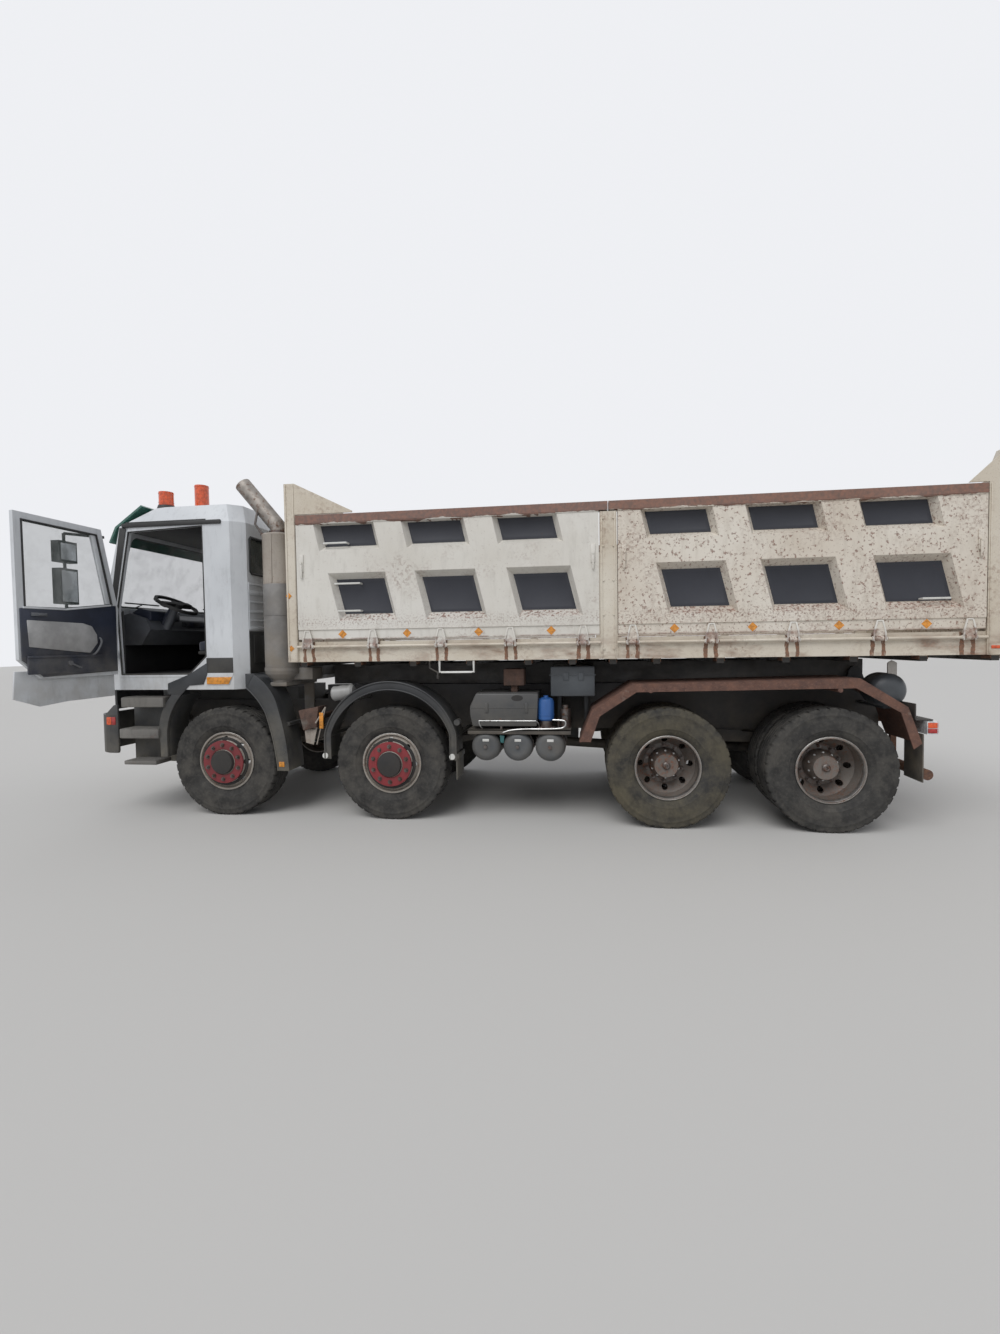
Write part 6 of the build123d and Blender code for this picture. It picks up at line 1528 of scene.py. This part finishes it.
def side_boxes():
    """Battery cover, boxes, brackets, shelf, canisters, pipes and valves along the left side."""
    cover = cut_plate((
        (-2.49, 0.892), (-2.466, 1.0), (-2.466, 1.075), (-2.524, 1.198), (-3.106, 1.198),
        (-3.09, 0.892),
    ), 0.7, 0.448, edge=0.014)
    lid = built(
        (bar, (-3.098, 1.146, 1.06), (-2.476, 1.15, 1.072), 0.001),
        (bar, (-2.64, 1.146, 1.02), (-2.61, 1.158, 1.11), 0.004),
        (bar, (-3.01, 1.146, 1.02), (-2.98, 1.158, 1.11), 0.004),
        (bar, (-3.1, 0.7, 1.196), (-2.53, 1.14, 1.204), 0.002),
    )
    done(welded([cover, lid]), "battery_cover", "chassis", COVER_GREY, ("side_boxes",))
    vent = rod((-2.912, 1.14, 1.155), (-2.912, 1.1495, 1.155), 0.027, sides=32)
    middle = Matrix.Translation((-2.912, 0, 0))
    vent.data.transform(middle @ Matrix.Diagonal((2, 1, 1, 1)) @ middle.inverted())
    done(vent, "cover_vent", "chassis", BLACK_AND_SHADE)
    boxes = welded([
        bar((-3.622, FRAME_Y, 1.16), (-3.213, 1.05, 1.44), 0.016),
        bar((-3.63, FRAME_Y, 1.352), (-3.205, 1.058, 1.364), 0.003),
        bar((-3.52, 1.048, 1.31), (-3.47, 1.062, 1.384), 0.004),
        bar((-3.38, 1.048, 1.31), (-3.33, 1.062, 1.384), 0.004),
        bar((-3.56, 0.44, 0.866), (-3.52, 0.7, 1.165), 0.006),
        bar((-3.3, 0.44, 0.866), (-3.26, 0.7, 1.165), 0.006),
    ])
    done(boxes, "tool_box", "chassis", TANK_GREY)
    small = welded([
        bar((-2.968, 0.86, 1.262), (-2.774, 1.05, 1.42), 0.01),
        bar((-2.9, 0.9, 1.198), (-2.84, 1.01, 1.268), 0.004),
        cut_plate(
            ((-0.772, 1.038), (-0.978, 1.076), (-0.955, 0.874), (-0.818, 0.842)), 0.95, 0.2, edge=0.008
        ),
        bar((-0.93, FRAME_Y, 0.93), (-0.86, 0.955, 0.98), 0.006),
    ])
    done(small, "small_boxes", "chassis", BOX_BROWN)
    bracket = welded([
        cut_plate(
            ((-0.948, 0.877), (-0.816, 0.837), (-0.826, 0.72), (-0.905, 0.7)), 1.1, 0.012, edge=0.002
        ),
        bar((-0.93, FRAME_Y, 0.846), (-0.87, 1.112, 0.862), 0.003),
        bent_rod(((-0.949, 1.152, 0.916), (-1.055, 1.152, 1.072)), 0.008, 8),
        bent_rod(((-1.055, 1.152, 1.072), (-0.943, 1.12, 0.705)), 0.006, 8),
    ])
    done(bracket, "beige_bracket", "chassis", STACK_SLEEVE)
    done(
        bar((-1.03, 1.146, 0.864), (-0.99, 1.16, 1.02), 0.004), "strap_marker", "chassis", AMBER,
    )
    shelf = built(
        (bar, (-3.4, FRAME_Y, 0.85), (-2.444, 1.15, 0.864), 0.003),
        (bar, (-3.4, 1.14, 0.82), (-2.444, 1.15, 0.864), 0.003),
        (bar, (-2.64, FRAME_Y, 0.79), (-2.6, 1.13, 0.852), 0.004),
        (bar, (-3.24, FRAME_Y, 0.79), (-3.2, 1.13, 0.852), 0.004),
    )
    done(shelf, "box_shelf", "chassis", FRAME_BLACK)
    canister = welded([
        turned([
            (0.0, 0.942), (0.062, 0.942), (0.075, 0.956), (0.075, 1.11), (0.066, 1.14), (0.04, 1.153),
            (0.0, 1.155),
        ], CANISTER, UP, 40),
        turned([(0.0, 1.15), (0.022, 1.15), (0.022, 1.172), (0.0, 1.172)], CANISTER, UP, 20),
        turned([(0.074, 0.99), (0.078, 0.99), (0.078, 1.002), (0.074, 1.002)], CANISTER, UP, 40),
    ])
    done(canister, "blue_canister", "chassis", CANISTER_BLUE)
    crumpled = welded([
        turned([
            (0.0, -0.112), (0.06, -0.108), (0.074, -0.09), (0.07, -0.04), (0.076, 0.0), (0.071, 0.05),
            (0.075, 0.092), (0.058, 0.11), (0.0, 0.112),
        ], (-1.216, 1.075, 1.205), (1, 0, -0.1), 28),
        bar((-1.25, FRAME_Y, 1.1), (-1.18, 1.08, 1.14), 0.004),
    ])
    done(crumpled, "silver_canister", "chassis", SILVER_PAINT)
    pipes = [
        bent_rod((
            (-2.778, 1.156, 0.835), (-2.828, 1.16, 0.872), (-3.296, 1.16, 0.872), (-3.351, 1.16, 0.896),
            (-3.357, 1.16, 0.939), (-3.327, 1.155, 0.955), (-3.236, 1.14, 0.953),
        ), 0.008, 10, True),
        bent_rod(((-2.553, 1.152, 0.945), (-3.083, 1.152, 0.945)), 0.006, 8),
        bent_rod(((-2.58, 1.12, 0.868), (-2.553, 1.152, 0.9), (-2.553, 1.152, 0.945)), 0.006, 8, True),
        bent_rod(((-3.083, 1.152, 0.945), (-3.11, 1.14, 0.93), (-3.112, 1.1, 0.868)), 0.006, 8, True),
    ]
    done(welded(pipes), "air_pipes", "chassis", STEEL_BRIGHT)
    valves = [
        rod((-2.755, 1.11, 0.866), (-2.755, 1.11, 0.998), 0.013, sides=16),
        rod((-2.755, 1.11, 0.96), (-2.755, 1.15, 0.96), 0.01, sides=12),
        rod((-3.345, 0.98, 0.866), (-3.345, 0.98, 1.04), 0.05, sides=24),
        rod((-3.345, 0.98, 1.04), (-3.345, 0.98, 1.075), 0.03, sides=20),
        rod((-3.345, 0.98, 0.96), (-3.345, 1.08, 0.96), 0.026, sides=16),
        rod((-3.345, 1.08, 0.96), (-3.345, 1.098, 0.96), 0.018, sides=6),
        rod((-3.28, 0.94, 0.866), (-3.28, 0.94, 0.95), 0.026, sides=16),
        rod((-3.17, 1.07, 0.864), (-3.17, 1.07, 0.946), 0.05, 0.056, 32),
        bar((-3.25, 1.03, 0.864), (-3.09, 1.11, 0.884), 0.004),
    ]
    done(welded(valves), "air_valves", "chassis", HUB_IRON)


TANK_Z = 0.702


def tank_details():
    """Straps, drain plugs, tags and a teal fitting on the three air tanks."""
    fittings = []
    tags = []
    for x in (-2.61, -2.909, -3.208):
        for y in (0.66, 1.01):
            fittings.append(
                turned([
                    (0.137, -0.016), (0.142, -0.016), (0.142, 0.016), (0.137, 0.016),
                ], (x, y, TANK_Z), ACROSS, 48),
            )
            fittings.append(bar((x - 0.016, y - 0.012, 0.834), (x + 0.016, y + 0.012, 0.862), 0.003))
        fittings.append(rod((x, 1.148, TANK_Z), (x, 1.166, TANK_Z), 0.018, 0.016, 20))
        fittings.append(rod((x, 0.86, 0.548), (x, 0.86, 0.57), 0.014, sides=6))
        tags.append(bar((x - 0.034, 1.147, 0.752), (x + 0.026, 1.153, 0.776), 0.001))
    done(welded(fittings), "tank_fittings", "chassis", HUB_IRON)
    done(welded(tags), "tank_tags", "chassis", WHITE_PLASTIC)
    done(
        cut_plate(
            ((-2.74, 0.812), (-2.784, 0.8), (-2.778, 0.731), (-2.746, 0.738)), 1.06, 0.06, edge=0.006
        ),
        "teal_fitting",
        "chassis",
        TEAL_PAINT,
    )


def tail_details():
    """White brackets, a cross tank, lamp lenses and brackets, a plain plate and post reflectors."""
    bracket = cut_plate((
        (-6.15, 1.264), (-6.15, 1.44), (-6.185, 1.462), (-6.225, 1.44), (-6.225, 1.264),
    ), 0.93, 0.02, edge=0.003)
    both_sides(bracket, "tail_bracket", "chassis", HINGE_WHITE)
    tank = welded([
        turned([
            (0.0, 0.69), (0.06, 0.692), (0.12, 0.712), (0.146, 0.745), (0.15, 0.77), (0.15, 0.93),
            (0.146, 0.955), (0.12, 0.985), (0.06, 1.003), (0.0, 1.005),
        ], (-6.155, 0, 1.2), ACROSS, 48),
        bar((-6.2, FRAME_Y, 1.04), (-6.11, 0.96, 1.062), 0.004),
    ])
    done(tank, "cross_tank", "chassis", TANK_GREY)
    for low, high, name, finish in (
        (0.905, 0.95, "tail_orange", ORANGE), (0.862, 0.9, "tail_red", RED_LAMP)
    ):
        lens = bars(
            0.002,
            ((-6.412, 1.213, low), (-6.34, 1.219, high)),
            ((-6.427, 0.9, low), (-6.418, 1.205, high)),
        )
        both_sides(lens, name, "chassis", finish)
    iron = bars(
        0.003,
        ((-6.4, 0.884, 0.962), (-6.256, 1.18, 0.974)),
        ((-6.268, 0.884, 0.962), (-6.256, 1.18, 1.105)),
        ((-6.33, 0.884, 0.44), (-6.318, 1.18, 0.85)),
    )
    both_sides(iron, "lamp_bracket", "chassis", FRAME_BLACK)
    done(
        bar((-6.432, -0.26, 0.93), (-6.424, 0.26, 1.045), 0.003), "rear_plate", "chassis", SILVER_PAINT,
    )
    done(
        bar((-6.848, 1.2495, 1.56), (-6.781, 1.256, 1.585), 0.003), "post_lamp", "bed", ORANGE,
    )
    diamonds = []
    for x, z in ((-0.763, 2.137), (-0.774, 1.64)):
        outline = ((x - 0.03, z), (x, z + 0.03), (x + 0.03, z), (x, z - 0.03))
        diamonds.append(cut_plate(outline, SIDE_Y, 0.004, edge=0.001))
    both_sides(welded(diamonds), "post_diamonds", "bed", AMBER)


def mirror_glasses():
    """Bright faces and dark rims on the mirror heads."""
    faces = []
    rims = []
    for low, high in ((2.1, 2.44), (2.5, 2.7)):
        faces.append(bar((1.3705, 1.365, low + 0.022), (1.3735, 1.535, high - 0.022), 0.001))
        rims.append(bar((1.371, 1.352, low + 0.006), (1.382, 1.548, low + 0.022), 0.003))
        rims.append(bar((1.371, 1.352, high - 0.022), (1.382, 1.548, high - 0.006), 0.003))
    both_sides(welded(faces), "mirror_glass", "cab", MIRROR_GLASS)
    both_sides(welded(rims), "mirror_rims", "cab", SEAL_BLACK)


def beacon_bases():
    """Black feet and lens ribs on the two roof beacons."""
    feet = []
    tops = []
    for x, y, top in ((0.47, 0.7, 3.37), (0.69, 0.96, 3.25)):
        feet.append(
            turned([
                (0.066, 3.0705), (0.086, 3.0705), (0.086, 3.086), (0.078, 3.112), (0.069, 3.114),
                (0.066, 3.1),
            ], (x, y, 0), UP, 40),
        )
        for z in (3.118, 3.14, top - 0.02):
            tops.append(
                turned([
                    (0.068, z), (0.0725, z + 0.002), (0.0725, z + 0.008), (0.068, z + 0.01),
                ], (x, y, 0), UP, 40),
            )
    done(welded(feet), "beacon_feet", "cab", SEAL_BLACK)
    done(welded(tops), "beacon_ribs", "cab", ORANGE)


# Assembly

for step in (
    wheels, front_hubs, rear_hubs, pocket_panels, gate_hinges, gate_trim, climbing_rungs, bed_trim,
    step_bracket, door_opening_trim, windscreen_trim, cab_side_trim, cab_rear_trim, front_trim,
    door_linings, door_skirts, cabin_shade_linings, dash_details, seat_upholstery, stack_parts, fenders,
    cab_step_boards, bumper_corners, side_boxes, tank_details, tail_details, mirror_glasses,
    hub_caps_and_drums, beacon_bases,
):
    step()

photo_camera()
pale_floor()
overcast_light()
